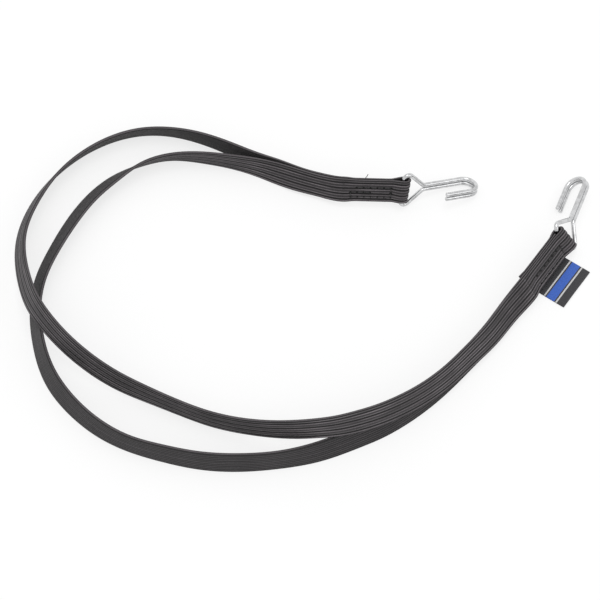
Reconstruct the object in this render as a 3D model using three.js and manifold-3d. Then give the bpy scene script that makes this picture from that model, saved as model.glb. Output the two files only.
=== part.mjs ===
// An elastic tie-down strap with a wire hook at each end, lying as it was dropped on a table.
// One long piece of flat ribbed webbing is doubled, so two strands run side by side from hook to
// hook. Each rib of the webbing holds a cut rubber core. At the left end the webbing folds round
// the bar of the hook. At the right end one strand folds round the bar, and its end is sewn back
// under the end of the other, with a cloth label below them. The outer strand crosses over the
// inner one twice, once at the far left and once near the front. Millimetres, +Z up, table at z = 0.

import * as THREE from 'three';
import * as BufferGeometryUtils from 'three/addons/utils/BufferGeometryUtils.js';
import Module from 'manifold-3d';

const wasm = await Module();
wasm.setup();

// Webbing: five ribs, the two at the edges half as wide, with a shallow groove between each two
const WEBBING_WIDTH = 16;
const WEBBING_THICKNESS = 1.8;
const GROOVE_DEPTH = 0.2;
const RIB_COUNT = 5;

// Rubber cores, square because the rubber is slit from a sheet, and lying a little turned
const CORE_SIZE = 0.5;
const CORE_CLEARANCE = 0.3;
const CORE_TURN = 12;

// Clearance between pieces that touch on the real strap
const FIT_GAP = 0.3;

// Hook: one wire bent into a triangle and a doubled hook
const WIRE_DIAMETER = 2.7;
const WIRE_SPACING = 2.9;
const HOOK_LENGTH = 46;
const HOOK_MOUTH = 13.1;
const RETURN_LENGTH = 16.2;
const TRIANGLE_WIDTH = 21.2;
const TRIANGLE_HEIGHT = 14.1;
const CORNER_RADIUS = 2.9;
const NECK_RADIUS = 3;

// Sewn ends, measured back from the bar of the hook
const LEFT_SEWN_LENGTH = 35;
const RIGHT_SEWN_LENGTH = 41;
const FLAP_LENGTH = 40;
const TAPER_LENGTH = 6.2;
const TAIL_CLEARANCE = 1.2;

// Stitches
const THREAD_SIZE = 0.35;
const STITCH_PITCH = 3.9;
const LOOP_WIDTH = 0.66;
const LOOSE_END_LENGTH = 1.7;
const LOOSE_END_SLANT = 6.5;
const MIDDLE_ROW_STITCHES = 3;

// Rows of stitches, as shares of the webbing's width up from its middle
const FRONT_ROW_SHARE = 0.16;
const MIDDLE_ROW_SHARE = -0.06;
const LOWER_ROW_SHARE = -0.28;
const RIGHT_UPPER_ROW_SHARE = 0.06;
const RIGHT_LOWER_ROW_SHARE = -0.38;

// Label, folded in two and sewn under the right end
const LABEL_LENGTH = 29.5;
const LABEL_REACH = 22.2;
const LABEL_START = 4.5;
const LABEL_TUCK = 3.8;
const CLOTH_THICKNESS = 0.35;
const LABEL_BEND_RADIUS = 1.5;

// Angular steps of the round bends, in degrees
const WIRE_BEND_STEP = 24;
const FOLD_BEND_STEP = 24;
const WIRE_SIDES = 10;

// Where each bar lies and how its end of the strap is turned, in degrees. Heading is the way that
// the strap runs, counted from +X. Lean is the angle between the webbing's width and the table.
// Skew turns the bar in the plane of the strap, and swing turns the hook about its bar.
const LEFT_END = {
  bar: [61.5, 68.87, 12.35], heading: 177.4, pitch: -1.3, lean: 112, skew: 6, swing: 26,
};
const RIGHT_END = {
  bar: [156.5, 35.3, 10.65], heading: 54, pitch: 0, lean: 52, skew: -9, swing: 9.4,
};

// The strap's route on the table, as [x, y, lift of the lower edge, lean in degrees]. Beside the
// right hook the stations place the inner strand, and the outer one lies against its outward face,
// raised along the width by the last number
const BESIDE_LEFT_HOOK = [
  [12.3, 74.4, 2.4, 107.3], [0.1, 79, 1.4, 109],
];
const OUTER_ROUTE = [
  [-12.5, 86.3, 0.4, 106.8], [-24.5, 92.5, 0, 95.7], [-42.6, 102.4, 0, 84.8], [-61.5, 110.7, 0, 78.6],
  [-80, 115.3, 0, 71.9], [-98.8, 115.3, 0, 67.9], [-117, 109.6, 0, 65.7], [-134.7, 98, 0, 64],
  [-149.3, 82.2, 0, 61.8], [-159.7, 63.1, 0.3, 59.2], [-165.4, 40, 1.6, 62.2], [-164.3, 21, 4.4, 64.1],
  [-158.9, 0.4, 8.8, 63.5], [-148.2, -22.3, 16.1, 66.8], [-135.8, -36.9, 13.9, 71.5],
  [-118.6, -50.3, 7.6, 75.2], [-101.6, -60, 3.5, 79], [-85.7, -66.9, 1.2, 84],
  [-67.6, -74.8, 0.5, 87.5], [-50.4, -81.9, 1.2, 87.7], [-28, -88.5, 4.3, 87],
  [-5.6, -93.5, 11.3, 82.9], [8, -95, 15.9, 78.7], [20, -93.9, 16.7, 74],
];
const INNER_ROUTE = [
  [-12.1, 83.4, 0.4, 108], [-24.2, 88.1, 0, 98.4], [-42.6, 93.1, 0, 84.7], [-61.2, 96.2, 0, 76.9],
  [-79.6, 96.7, 0, 67.2], [-97.7, 91.2, 0, 60.3], [-111.9, 82.2, 0, 48.2], [-124.9, 69.1, 0, 45.8],
  [-136.8, 50.1, 0, 48], [-145.5, 31, 0, 51.5], [-151.8, 12.1, 0, 55.5], [-153.7, -8, 0, 62],
  [-150.9, -29.1, 0, 66], [-141.8, -54.6, 0, 67.8], [-128.2, -73.1, 0, 72.8], [-111.5, -87.6, 0, 78.4],
  [-94, -97, 0, 83], [-77.5, -102.2, 0, 81.9], [-55.2, -107, 0, 80.2], [-33.1, -108.2, 0, 80],
  [-11, -106.4, 0, 80.6], [11.1, -101.2, 0, 74.5],
];
const BESIDE_RIGHT_HOOK = [
  [32, -92.7, 0, 70.8, 14.4], [44, -87.1, 0, 70, 12.2], [57, -79.2, 0, 69.2, 9.6],
  [70, -69.3, 0, 68.4, 6.9], [84.8, -55.2, 0.1, 66.4, 4.1], [97.6, -41, 0.3, 63.3, 2.5],
  [109.5, -27.3, 0.6, 59, 1.5], [121.9, -10.6, 1.1, 55, 0.9],
];

// Sizes that follow from the ones above
const ribPitch = WEBBING_WIDTH / (RIB_COUNT - 1);
const edgeHalf = WEBBING_THICKNESS / 2 - GROOVE_DEPTH;
const layerStep = WEBBING_THICKNESS + FIT_GAP;
const wireRadius = WIRE_DIAMETER / 2;
const foldRadius = wireRadius + FIT_GAP + WEBBING_THICKNESS / 2;
const threadOffset = WEBBING_THICKNESS / 2 + FIT_GAP + THREAD_SIZE / 2;
const labelThickness = 2 * CLOTH_THICKNESS + FIT_GAP;

// Finishes
const blackWebbing = new THREE.MeshStandardMaterial({ color: 0x262427, roughness: 0.85 });
const blackRubber = new THREE.MeshStandardMaterial({ color: 0x1a1a1a, roughness: 0.6 });
const blackThread = new THREE.MeshStandardMaterial({ color: 0x1d1c1f, roughness: 0.7 });
const platedWire = new THREE.MeshStandardMaterial({ color: 0xd6d8da, roughness: 0.22, metalness: 1 });
const labelCloth = new THREE.MeshStandardMaterial({ color: 0x2c2c34, roughness: 0.8 });

// A path with a given centre point and cross-section axes at each ring
class RingPath extends THREE.Curve {
  constructor(points, tangents, across, through) {
    super();
    this.points = points;
    this.frames = { tangents, normals: across, binormals: through };
  }

  getPoint(t, target = new THREE.Vector3()) {
    const place = t * (this.points.length - 1);
    const index = Math.min(Math.floor(place), this.points.length - 2);
    return target.lerpVectors(this.points[index], this.points[index + 1], place - index);
  }

  getSpacedPoints() {
    return this.points;
  }

  computeFrenetFrames() {
    return this.frames;
  }
}

// A bent bar's path: straight runs whose rings lie in the planes that halve the corners
function bentPath(points, firstAcross) {
  const headings = points.slice(1).map((point, i) => point.clone().sub(points[i]).normalize());
  const tangents = points.map((_, i) => {
    const before = headings[Math.max(i - 1, 0)];
    const after = headings[Math.min(i, headings.length - 1)];
    return before.clone().add(after).normalize();
  });
  const across = [];
  const through = [];
  const side = firstAcross.clone();
  const turn = new THREE.Quaternion();
  points.forEach((_, i) => {
    const run = headings[Math.max(i - 1, 0)];
    const third = new THREE.Vector3().crossVectors(run, side);
    for (const [axis, list] of [[side, across], [third, through]]) {
      const slide = axis.dot(tangents[i]) / run.dot(tangents[i]);
      list.push(axis.clone().addScaledVector(run, -slide));
    }
    if (i > 0 && i < headings.length) {
      side.applyQuaternion(turn.setFromUnitVectors(run, headings[i]));
    }
  });
  return new RingPath(points, tangents, across, through);
}

// A line through corners, each rounded to its own radius in steps of at most stepDegrees
function roundedLine(corners, radii, stepDegrees) {
  const line = [corners[0]];
  for (let i = 1; i < corners.length - 1; i += 1) {
    const into = corners[i].clone().sub(corners[i - 1]).normalize();
    const out = corners[i + 1].clone().sub(corners[i]).normalize();
    const turn = into.angleTo(out);
    const inward = out.clone().addScaledVector(into, -Math.cos(turn)).divideScalar(Math.sin(turn));
    const start = corners[i].clone().addScaledVector(into, -radii[i] * Math.tan(turn / 2));
    const centre = start.clone().addScaledVector(inward, radii[i]);
    const steps = Math.ceil(THREE.MathUtils.radToDeg(turn) / stepDegrees);
    for (let step = 0; step <= steps; step += 1) {
      const angle = (turn * step) / steps;
      line.push(centre.clone()
        .addScaledVector(inward, -radii[i] * Math.cos(angle))
        .addScaledVector(into, radii[i] * Math.sin(angle)));
    }
  }
  line.push(corners.at(-1));
  return line;
}

function sweep(section, path) {
  return new THREE.ExtrudeGeometry(section, { extrudePath: path, steps: path.points.length - 1 });
}

// Cross-sections
function rectanglePoints(width, height) {
  return [[-1, -1], [1, -1], [1, 1], [-1, 1]].map(
    ([x, y]) => new THREE.Vector2((x * width) / 2, (y * height) / 2),
  );
}

function rectangle(width, height) {
  return new THREE.Shape(rectanglePoints(width, height));
}

function turnedSquare(size, centreX) {
  const angle = THREE.MathUtils.degToRad(CORE_TURN);
  const origin = new THREE.Vector2();
  return rectanglePoints(size, size).map((point) => {
    const turned = point.rotateAround(origin, angle);
    return turned.setX(turned.x + centreX);
  });
}

// Edges of the ribs across the webbing, and the middle of each rib
const innerEdges = Array.from({ length: RIB_COUNT - 1 }, (_, i) => (i + 0.5) * ribPitch - WEBBING_WIDTH / 2);
const ribEdges = [-WEBBING_WIDTH / 2, ...innerEdges, WEBBING_WIDTH / 2];
const ribCentres = ribEdges.slice(1).map((edge, i) => (ribEdges[i] + edge) / 2);

function webbingSection() {
  const face = ribEdges.flatMap((edge, i) => {
    const low = new THREE.Vector2(edge, edgeHalf);
    return i < RIB_COUNT ? [low, new THREE.Vector2(ribCentres[i], WEBBING_THICKNESS / 2)] : [low];
  });
  const underside = face.map((point) => new THREE.Vector2(point.x, -point.y));
  return new THREE.Shape([...underside, ...face.reverse()]);
}

function strandSection() {
  const section = webbingSection();
  const channel = CORE_SIZE + 2 * CORE_CLEARANCE;
  section.holes = ribCentres.map((centre) => new THREE.Path(turnedSquare(channel, centre)));
  return section;
}

function roundSection(diameter, sides) {
  const points = Array.from({ length: sides }, (_, i) => {
    const angle = ((i + 0.5) * 2 * Math.PI) / sides;
    return new THREE.Vector2(Math.cos(angle), Math.sin(angle)).multiplyScalar(diameter / 2);
  });
  return new THREE.Shape(points);
}

// The three directions of the webbing where it has the given heading, pitch and lean
function webbingAxes(run, lean) {
  const inward = new THREE.Vector3(-run.y, run.x, 0).normalize();
  const upward = new THREE.Vector3().crossVectors(run, inward);
  const angle = THREE.MathUtils.degToRad(lean);
  const across = inward.clone().multiplyScalar(Math.cos(angle)).addScaledVector(upward, Math.sin(angle));
  const outward = new THREE.Vector3().crossVectors(run, across);
  return { run, across, outward };
}

function endAxes(end) {
  const heading = THREE.MathUtils.degToRad(end.heading);
  const pitch = THREE.MathUtils.degToRad(end.pitch);
  const level = Math.cos(pitch);
  const run = new THREE.Vector3(level * Math.cos(heading), level * Math.sin(heading), Math.sin(pitch));
  return webbingAxes(run, end.lean);
}

// Each sewn end is built in its own frame: x back along the strap from the bar, y across the
// webbing to its upper edge, and z through the layers, away from the side that faces up
function endFrame(end, runSign) {
  const { run, across, outward } = endAxes(end);
  const back = run.clone().multiplyScalar(runSign);
  const under = outward.clone().multiplyScalar(runSign);
  const frame = new THREE.Matrix4().makeBasis(back, across, under);
  return frame.setPosition(new THREE.Vector3(...end.bar));
}

const leftFrame = endFrame(LEFT_END, 1);
const rightFrame = endFrame(RIGHT_END, -1);

function place(mesh, frame) {
  frame.decompose(mesh.position, mesh.quaternion, mesh.scale);
  return mesh;
}

// Centre of the webbing at a station of the route
function onTable([x, y, lift, lean]) {
  const angle = THREE.MathUtils.degToRad(lean);
  const height = (WEBBING_WIDTH / 2) * Math.sin(angle) + edgeHalf * Math.abs(Math.cos(angle));
  return new THREE.Vector3(x, y, lift + height);
}

// Directions of the webbing along a line, at every point but the first and last
function axesAlong(line, stations) {
  return stations.map((station, i) => webbingAxes(line[i + 2].clone().sub(line[i]).normalize(), station[3]));
}

// Centres of a strand that lies face to face with a line of stations
function beside(stations, before, after, shiftOutward, raiseOf) {
  const line = [before, ...stations.map(onTable), after];
  return axesAlong(line, stations).map(({ across, outward }, i) => line[i + 1]
    .addScaledVector(outward, shiftOutward)
    .addScaledVector(across, raiseOf(stations[i])));
}

// The ring where a strand meets its sewn end, at its own depth in the layers
function endRing(end, frame, length, depth) {
  return { ...endAxes(end), centre: new THREE.Vector3(length, 0, depth).applyMatrix4(frame) };
}

function strandPath(rings, sideways) {
  const points = rings.map((ring) => ring.centre.clone().addScaledVector(ring.across, sideways));
  return new RingPath(
    points,
    rings.map((ring) => ring.run),
    rings.map((ring) => ring.across),
    rings.map((ring) => ring.outward),
  );
}

const innerRightRing = endRing(RIGHT_END, rightFrame, RIGHT_SEWN_LENGTH + FIT_GAP, 0);
const outerRightRing = endRing(RIGHT_END, rightFrame, RIGHT_SEWN_LENGTH + FIT_GAP, -layerStep);

// A strand has a ring at each station of its route, and one at each sewn end
function strand(name, route, isOuter) {
  const half = (isOuter ? layerStep : -layerStep) / 2;
  const firstRing = endRing(LEFT_END, leftFrame, LEFT_SEWN_LENGTH + FIT_GAP, half);
  const lastRing = isOuter ? outerRightRing : innerRightRing;
  const own = route.map(onTable);
  const left = beside(BESIDE_LEFT_HOOK, firstRing.centre, own[0], half, () => 0);
  const right = beside(
    BESIDE_RIGHT_HOOK,
    onTable(INNER_ROUTE.at(-1)),
    innerRightRing.centre,
    isOuter ? layerStep : 0,
    (station) => (isOuter ? station[4] : 0),
  );
  const line = [firstRing.centre, ...left, ...own, ...right, lastRing.centre];
  const axes = axesAlong(line, [...BESIDE_LEFT_HOOK, ...route, ...BESIDE_RIGHT_HOOK]);
  const rings = [firstRing, ...axes.map((found, i) => ({ ...found, centre: line[i + 1] })), lastRing];
  const webbing = new THREE.Mesh(sweep(strandSection(), strandPath(rings, 0)), blackWebbing);
  webbing.name = `${name}_strand`;
  const core = new THREE.Shape(turnedSquare(CORE_SIZE, 0));
  const cores = ribCentres.map((centre, i) => {
    const mesh = new THREE.Mesh(sweep(core, strandPath(rings, centre)), blackRubber);
    mesh.name = `${name}_core_${i + 1}`;
    return mesh;
  });
  return [webbing, ...cores];
}

// Solids for cutting
function solidOf(geometry) {
  const bare = geometry.index ? geometry.toNonIndexed() : geometry.clone();
  bare.deleteAttribute('normal');
  bare.deleteAttribute('uv');
  const merged = BufferGeometryUtils.mergeVertices(bare);
  return new wasm.Manifold(new wasm.Mesh({
    numProp: 3,
    vertProperties: merged.attributes.position.array,
    triVerts: Uint32Array.from(merged.index.array),
  }));
}

function geometryOf(solid) {
  const mesh = solid.getMesh();
  const geometry = new THREE.BufferGeometry();
  geometry.setAttribute('position', new THREE.BufferAttribute(mesh.vertProperties, 3));
  geometry.setIndex(new THREE.BufferAttribute(mesh.triVerts, 1));
  geometry.computeVertexNormals();
  return geometry;
}

// Holes for the stitches, cut a webbing's width deep to both sides, which is through every layer
function withStitchHoles(geometry, holes) {
  const holeLength = LOOP_WIDTH + THREAD_SIZE + 2 * FIT_GAP;
  const holeWidth = THREAD_SIZE + 2 * FIT_GAP;
  const cutters = holes.map((hole) => {
    const box = new THREE.BoxGeometry(holeLength, holeWidth, 2 * WEBBING_WIDTH);
    box.rotateZ(hole.angle);
    box.translate(hole.x, hole.y, 0);
    return solidOf(box);
  });
  return geometryOf(cutters.reduce((solid, cutter) => solid.subtract(cutter), solidOf(geometry)));
}

// Rows of stitches run back from the bar, as [first x, last x, y]
function stitchRow(from, to, y) {
  const gaps = Math.round(Math.abs(to - from) / STITCH_PITCH);
  return Array.from({ length: gaps + 1 }, (_, i) => ({ x: from + ((to - from) * i) / gaps, y }));
}

// Each hole is turned halfway between the stitches before and after it
function aimHoles(holes) {
  return holes.map((hole, i) => {
    const before = holes[Math.max(i - 1, 0)];
    const after = holes[Math.min(i + 1, holes.length - 1)];
    return { ...hole, angle: Math.atan2(after.y - before.y, after.x - before.x) };
  });
}

// A thread runs on one face and dips into each hole, down to the middle of the layers
function threadGeometry(holes, side, surfaceAt, looseEnd) {
  const points = looseEnd ? [looseEnd] : [];
  holes.forEach((hole, i) => {
    const level = surfaceAt(hole.y) * side;
    const bottom = ((FIT_GAP + THREAD_SIZE) / 2) * side;
    const dx = (Math.cos(hole.angle) * LOOP_WIDTH) / 2;
    const dy = (Math.sin(hole.angle) * LOOP_WIDTH) / 2;
    points.push(new THREE.Vector3(hole.x - dx, hole.y - dy, level));
    points.push(new THREE.Vector3(hole.x - dx, hole.y - dy, bottom));
    points.push(new THREE.Vector3(hole.x + dx, hole.y + dy, bottom));
    points.push(new THREE.Vector3(hole.x + dx, hole.y + dy, level));
    const next = holes[i + 1];
    if (next && surfaceAt(next.y) !== surfaceAt(hole.y)) {
      const far = Math.max(surfaceAt(next.y), surfaceAt(hole.y)) * side;
      const lean = surfaceAt(next.y) > surfaceAt(hole.y) ? hole : next;
      const stepY = (lean.y + (next.y + hole.y) / 2) / 2;
      points.push(new THREE.Vector3(lean.x, stepY, far));
    }
  });
  const run = points[1].clone().sub(points[0]).normalize();
  const reference = Math.abs(run.z) > 0.5 ? new THREE.Vector3(0, 1, 0) : new THREE.Vector3(0, 0, 1);
  const across = new THREE.Vector3().crossVectors(run, reference).normalize();
  return sweep(rectangle(THREAD_SIZE, THREAD_SIZE), bentPath(points, across));
}

// Webbing folded round the bar: two legs and a round nose, with room for the skew of the bar. The
// upper leg is the one on the side that faces up
function foldGeometry(halfSpacing, upperLength, underLength, skew) {
  const play = (WEBBING_WIDTH / 2) * Math.sin(THREE.MathUtils.degToRad(Math.abs(skew)));
  const nose = play + foldRadius;
  const corners = [
    new THREE.Vector3(upperLength, 0, -halfSpacing),
    new THREE.Vector3(TAPER_LENGTH, 0, -halfSpacing),
    new THREE.Vector3(play, 0, -foldRadius),
    new THREE.Vector3(-nose, 0, -foldRadius),
    new THREE.Vector3(-nose, 0, foldRadius),
    new THREE.Vector3(play, 0, foldRadius),
    new THREE.Vector3(TAPER_LENGTH, 0, halfSpacing),
    new THREE.Vector3(underLength, 0, halfSpacing),
  ];
  const radii = corners.map(() => foldRadius);
  const path = bentPath(roundedLine(corners, radii, FOLD_BEND_STEP), new THREE.Vector3(0, 1, 0));
  return sweep(webbingSection(), path);
}

// Hook wire in its own frame: x along the bar, y from the bar to the bend, z to the return
function hookGeometry() {
  const halfBar = TRIANGLE_WIDTH / 2 - CORNER_RADIUS;
  const neckX = WIRE_SPACING / 2;
  const toNeck = new THREE.Vector2(neckX - halfBar, TRIANGLE_HEIGHT - CORNER_RADIUS);
  const touch = toNeck.angle() - Math.acos(CORNER_RADIUS / toNeck.length());
  const cornerX = halfBar + CORNER_RADIUS * Math.tan((touch + Math.PI / 2) / 2);
  const tipY = HOOK_LENGTH - HOOK_MOUTH / 2 - RETURN_LENGTH;
  const half = (sign) => [
    new THREE.Vector3(sign * neckX, tipY, HOOK_MOUTH),
    new THREE.Vector3(sign * neckX, HOOK_LENGTH, HOOK_MOUTH),
    new THREE.Vector3(sign * neckX, HOOK_LENGTH, 0),
    new THREE.Vector3(sign * neckX, TRIANGLE_HEIGHT, 0),
    new THREE.Vector3(sign * cornerX, 0, 0),
  ];
  const bend = HOOK_MOUTH / 2;
  const halfRadii = [0, bend, bend, NECK_RADIUS, CORNER_RADIUS];
  const corners = [...half(1), ...half(-1).reverse()];
  const radii = [...halfRadii, ...halfRadii.slice().reverse()];
  const path = bentPath(roundedLine(corners, radii, WIRE_BEND_STEP), new THREE.Vector3(1, 0, 0));
  return sweep(roundSection(WIRE_DIAMETER, WIRE_SIDES), path);
}

// A hook on its bar. returnSide is +1 where the return bends to the under side, -1 to the upper
function hook(name, frame, end, returnSide) {
  const skew = THREE.MathUtils.degToRad(end.skew);
  const swing = THREE.MathUtils.degToRad(end.swing);
  const straight = new THREE.Vector3(-Math.cos(skew), -Math.sin(skew), 0);
  const under = new THREE.Vector3(0, 0, 1);
  const reach = straight.clone().multiplyScalar(Math.cos(swing)).addScaledVector(under, Math.sin(swing));
  const toReturn = under.clone().multiplyScalar(Math.cos(swing)).addScaledVector(straight, -Math.sin(swing));
  toReturn.multiplyScalar(returnSide);
  const bar = new THREE.Vector3().crossVectors(reach, toReturn);
  const own = new THREE.Matrix4().makeBasis(bar, reach, toReturn);
  const mesh = new THREE.Mesh(hookGeometry(), platedWire);
  mesh.name = name;
  return place(mesh, frame.clone().multiply(own));
}

// Left end: the doubled webbing folds round the bar and is sewn flat
const crossRowX = TAPER_LENGTH + LOOP_WIDTH;

function leftEnd() {
  const upperY = FRONT_ROW_SHARE * WEBBING_WIDTH;
  const middleY = MIDDLE_ROW_SHARE * WEBBING_WIDTH;
  const lowerY = LOWER_ROW_SHARE * WEBBING_WIDTH;
  const farX = LEFT_SEWN_LENGTH - STITCH_PITCH;
  const holes = aimHoles([
    ...stitchRow(farX - STITCH_PITCH, crossRowX, upperY),
    { x: crossRowX, y: (upperY + lowerY) / 2 },
    ...stitchRow(crossRowX, farX, lowerY),
    ...stitchRow(farX, farX - MIDDLE_ROW_STITCHES * STITCH_PITCH, middleY),
  ]);
  const surface = layerStep / 2 + threadOffset;
  const plain = foldGeometry(layerStep / 2, LEFT_SEWN_LENGTH, LEFT_SEWN_LENGTH, LEFT_END.skew);
  const fold = new THREE.Mesh(withStitchHoles(plain, holes), blackWebbing);
  fold.name = 'left_fold';
  const first = holes[0];
  const looseX = first.x - LOOSE_END_SLANT;
  const looseEnd = new THREE.Vector3(looseX, WEBBING_WIDTH / 2 + LOOSE_END_LENGTH, surface);
  const needle = new THREE.Mesh(threadGeometry(holes, -1, () => surface, null), blackThread);
  needle.name = 'left_needle_thread';
  const bobbin = new THREE.Mesh(threadGeometry(holes, 1, () => surface, looseEnd), blackThread);
  bobbin.name = 'left_bobbin_thread';
  return [fold, needle, bobbin].map((mesh) => place(mesh, leftFrame));
}

// Label: two leaves of one cloth, folded at the free edge. They lie on the underside of the
// webbing, pass below its lower edge and run out flat along the table
function labelGeometry() {
  const lean = THREE.MathUtils.degToRad(RIGHT_END.lean);
  const barHeight = RIGHT_END.bar[2];
  const leafOffset = (CLOTH_THICKNESS + FIT_GAP) / 2;
  const middleDepth = layerStep + WEBBING_THICKNESS / 2 + FIT_GAP + labelThickness / 2;
  const tuckY = LABEL_TUCK - WEBBING_WIDTH / 2;
  const outer = (offset) => {
    const height = labelThickness / 2 + offset;
    const y = -Math.cos(lean) * LABEL_REACH + Math.sin(lean) * (height - barHeight);
    const z = -Math.sin(lean) * LABEL_REACH - Math.cos(lean) * (height - barHeight);
    return new THREE.Vector3(LABEL_START, y, z);
  };
  const bend = (offset) => {
    const depth = middleDepth - offset;
    const height = labelThickness / 2 + offset;
    const y = (height - barHeight + depth * Math.cos(lean)) / Math.sin(lean);
    return new THREE.Vector3(LABEL_START, y, depth);
  };
  const tuck = (offset) => new THREE.Vector3(LABEL_START, tuckY, middleDepth - offset);
  const corners = [
    tuck(leafOffset), bend(leafOffset), outer(leafOffset),
    outer(-leafOffset), bend(-leafOffset), tuck(-leafOffset),
  ];
  const inside = LABEL_BEND_RADIUS - leafOffset;
  const outside = LABEL_BEND_RADIUS + leafOffset;
  const radii = [0, inside, leafOffset, leafOffset, outside, 0];
  const line = roundedLine(corners, radii, FOLD_BEND_STEP);
  line.forEach((point) => point.setX(LABEL_START + LABEL_LENGTH / 2));
  const path = bentPath(line, new THREE.Vector3(1, 0, 0));
  return sweep(rectangle(LABEL_LENGTH, CLOTH_THICKNESS), path);
}

// Right end: the outer strand folds round the bar, and the end of the inner one lies in the fold
function rightEnd() {
  const upperY = RIGHT_UPPER_ROW_SHARE * WEBBING_WIDTH;
  const lowerY = RIGHT_LOWER_ROW_SHARE * WEBBING_WIDTH;
  const farX = LABEL_START + LABEL_LENGTH - STITCH_PITCH / 2;
  const holes = aimHoles([
    ...stitchRow(farX, crossRowX, upperY),
    { x: crossRowX, y: (upperY + lowerY) / 2 },
    ...stitchRow(crossRowX, farX, lowerY),
  ]);
  const tuckY = LABEL_TUCK - WEBBING_WIDTH / 2;
  const bareSurface = layerStep + threadOffset;
  const labelSurface = bareSurface + FIT_GAP + labelThickness;
  const plainFold = foldGeometry(layerStep, RIGHT_SEWN_LENGTH, FLAP_LENGTH, RIGHT_END.skew);
  const fold = new THREE.Mesh(withStitchHoles(plainFold, holes), blackWebbing);
  fold.name = 'right_fold';
  const tailStart = foldRadius + TAIL_CLEARANCE;
  const tailLine = [new THREE.Vector3(tailStart, 0, 0), new THREE.Vector3(RIGHT_SEWN_LENGTH, 0, 0)];
  const plainTail = sweep(webbingSection(), bentPath(tailLine, new THREE.Vector3(0, 1, 0)));
  const tail = new THREE.Mesh(withStitchHoles(plainTail, holes), blackWebbing);
  tail.name = 'right_tail';
  const label = new THREE.Mesh(withStitchHoles(labelGeometry(), holes), labelCloth);
  label.name = 'label';
  const needle = new THREE.Mesh(threadGeometry(holes, -1, () => bareSurface, null), blackThread);
  needle.name = 'right_needle_thread';
  const underSurface = (y) => (y < tuckY ? labelSurface : bareSurface);
  const bobbin = new THREE.Mesh(threadGeometry(holes, 1, underSurface, null), blackThread);
  bobbin.name = 'right_bobbin_thread';
  return [fold, tail, label, needle, bobbin].map((mesh) => place(mesh, rightFrame));
}

// The whole strap, centred on the origin
const strap = new THREE.Group();
strap.add(...strand('outer', OUTER_ROUTE, true));
strap.add(...strand('inner', INNER_ROUTE, false));
strap.add(...leftEnd());
strap.add(...rightEnd());
strap.add(hook('left_hook', leftFrame, LEFT_END, -1));
strap.add(hook('right_hook', rightFrame, RIGHT_END, 1));

const middle = new THREE.Box3().setFromObject(strap, true).getCenter(new THREE.Vector3());
strap.position.set(-middle.x, -middle.y, 0);

export default strap;
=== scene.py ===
"""An elastic strap with a wire hook at each end, lying loose on a pale table.

One long piece of flat webbing is doubled into two strands. The file lays the two strands along
the same route as the CAD frame, then builds the sewn ends, the label, the threads and the two
hooks, and dresses each in its own finish. Lengths are metres, angles are degrees.
"""

from __future__ import annotations

import logging
import math
from dataclasses import dataclass, field
from enum import Enum

import bpy
import numpy as np
from mathutils import Euler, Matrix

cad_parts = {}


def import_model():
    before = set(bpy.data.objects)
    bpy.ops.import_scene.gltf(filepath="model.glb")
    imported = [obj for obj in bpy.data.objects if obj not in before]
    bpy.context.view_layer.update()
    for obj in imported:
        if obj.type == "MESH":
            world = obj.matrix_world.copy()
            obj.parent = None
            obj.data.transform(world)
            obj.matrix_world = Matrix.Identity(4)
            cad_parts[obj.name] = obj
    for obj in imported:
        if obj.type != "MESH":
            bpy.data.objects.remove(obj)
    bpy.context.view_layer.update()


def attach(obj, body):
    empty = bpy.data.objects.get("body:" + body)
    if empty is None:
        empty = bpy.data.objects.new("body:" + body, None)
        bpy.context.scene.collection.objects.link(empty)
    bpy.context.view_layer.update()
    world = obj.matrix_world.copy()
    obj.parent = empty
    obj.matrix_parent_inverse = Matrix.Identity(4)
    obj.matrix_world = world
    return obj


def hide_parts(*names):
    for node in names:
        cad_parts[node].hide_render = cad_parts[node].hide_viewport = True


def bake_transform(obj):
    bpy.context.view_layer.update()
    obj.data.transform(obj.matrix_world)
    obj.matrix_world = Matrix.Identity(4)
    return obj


LOG = logging.getLogger("strap")
MM = 0.001
UP = np.array([0.0, 0.0, 1.0])

# The CAD source centres its model on the origin last, so everything here moves by this much
RECENTRE = np.array([-0.002495, -0.004311, 0.0])

# Stations of the strap's route: x, y, lift of the lower edge (metres), lean of the webbing
# (degrees between its width and the table). The same stations as in the CAD source. They came out
# of a numerical fit and are not a list chosen by hand. Beside the right hook they place the inner
# strand, and the fifth number raises the outer one along its width.
BESIDE_LEFT_HOOK = np.array([
    [0.0123, 0.0744, 0.0024, 107.3], [0.0001, 0.0790, 0.0014, 109.0],
])
OUTER_ROUTE = np.array([
    [-0.0125, 0.0863, 0.0004, 106.8], [-0.0245, 0.0925, 0.0, 95.7], [-0.0426, 0.1024, 0.0, 84.8],
    [-0.0615, 0.1107, 0.0, 78.6], [-0.0800, 0.1153, 0.0, 71.9], [-0.0988, 0.1153, 0.0, 67.9],
    [-0.1170, 0.1096, 0.0, 65.7], [-0.1347, 0.0980, 0.0, 64.0], [-0.1493, 0.0822, 0.0, 61.8],
    [-0.1597, 0.0631, 0.0003, 59.2], [-0.1654, 0.0400, 0.0016, 62.2], [-0.1643, 0.0210, 0.0044, 64.1],
    [-0.1589, 0.0004, 0.0088, 63.5], [-0.1482, -0.0223, 0.0161, 66.8],
    [-0.1358, -0.0369, 0.0139, 71.5], [-0.1186, -0.0503, 0.0076, 75.2],
    [-0.1016, -0.0600, 0.0035, 79.0], [-0.0857, -0.0669, 0.0012, 84.0],
    [-0.0676, -0.0748, 0.0005, 87.5], [-0.0504, -0.0819, 0.0012, 87.7],
    [-0.0280, -0.0885, 0.0043, 87.0], [-0.0056, -0.0935, 0.0113, 82.9],
    [0.0080, -0.0950, 0.0159, 78.7], [0.0200, -0.0939, 0.0167, 74.0],
])
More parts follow.
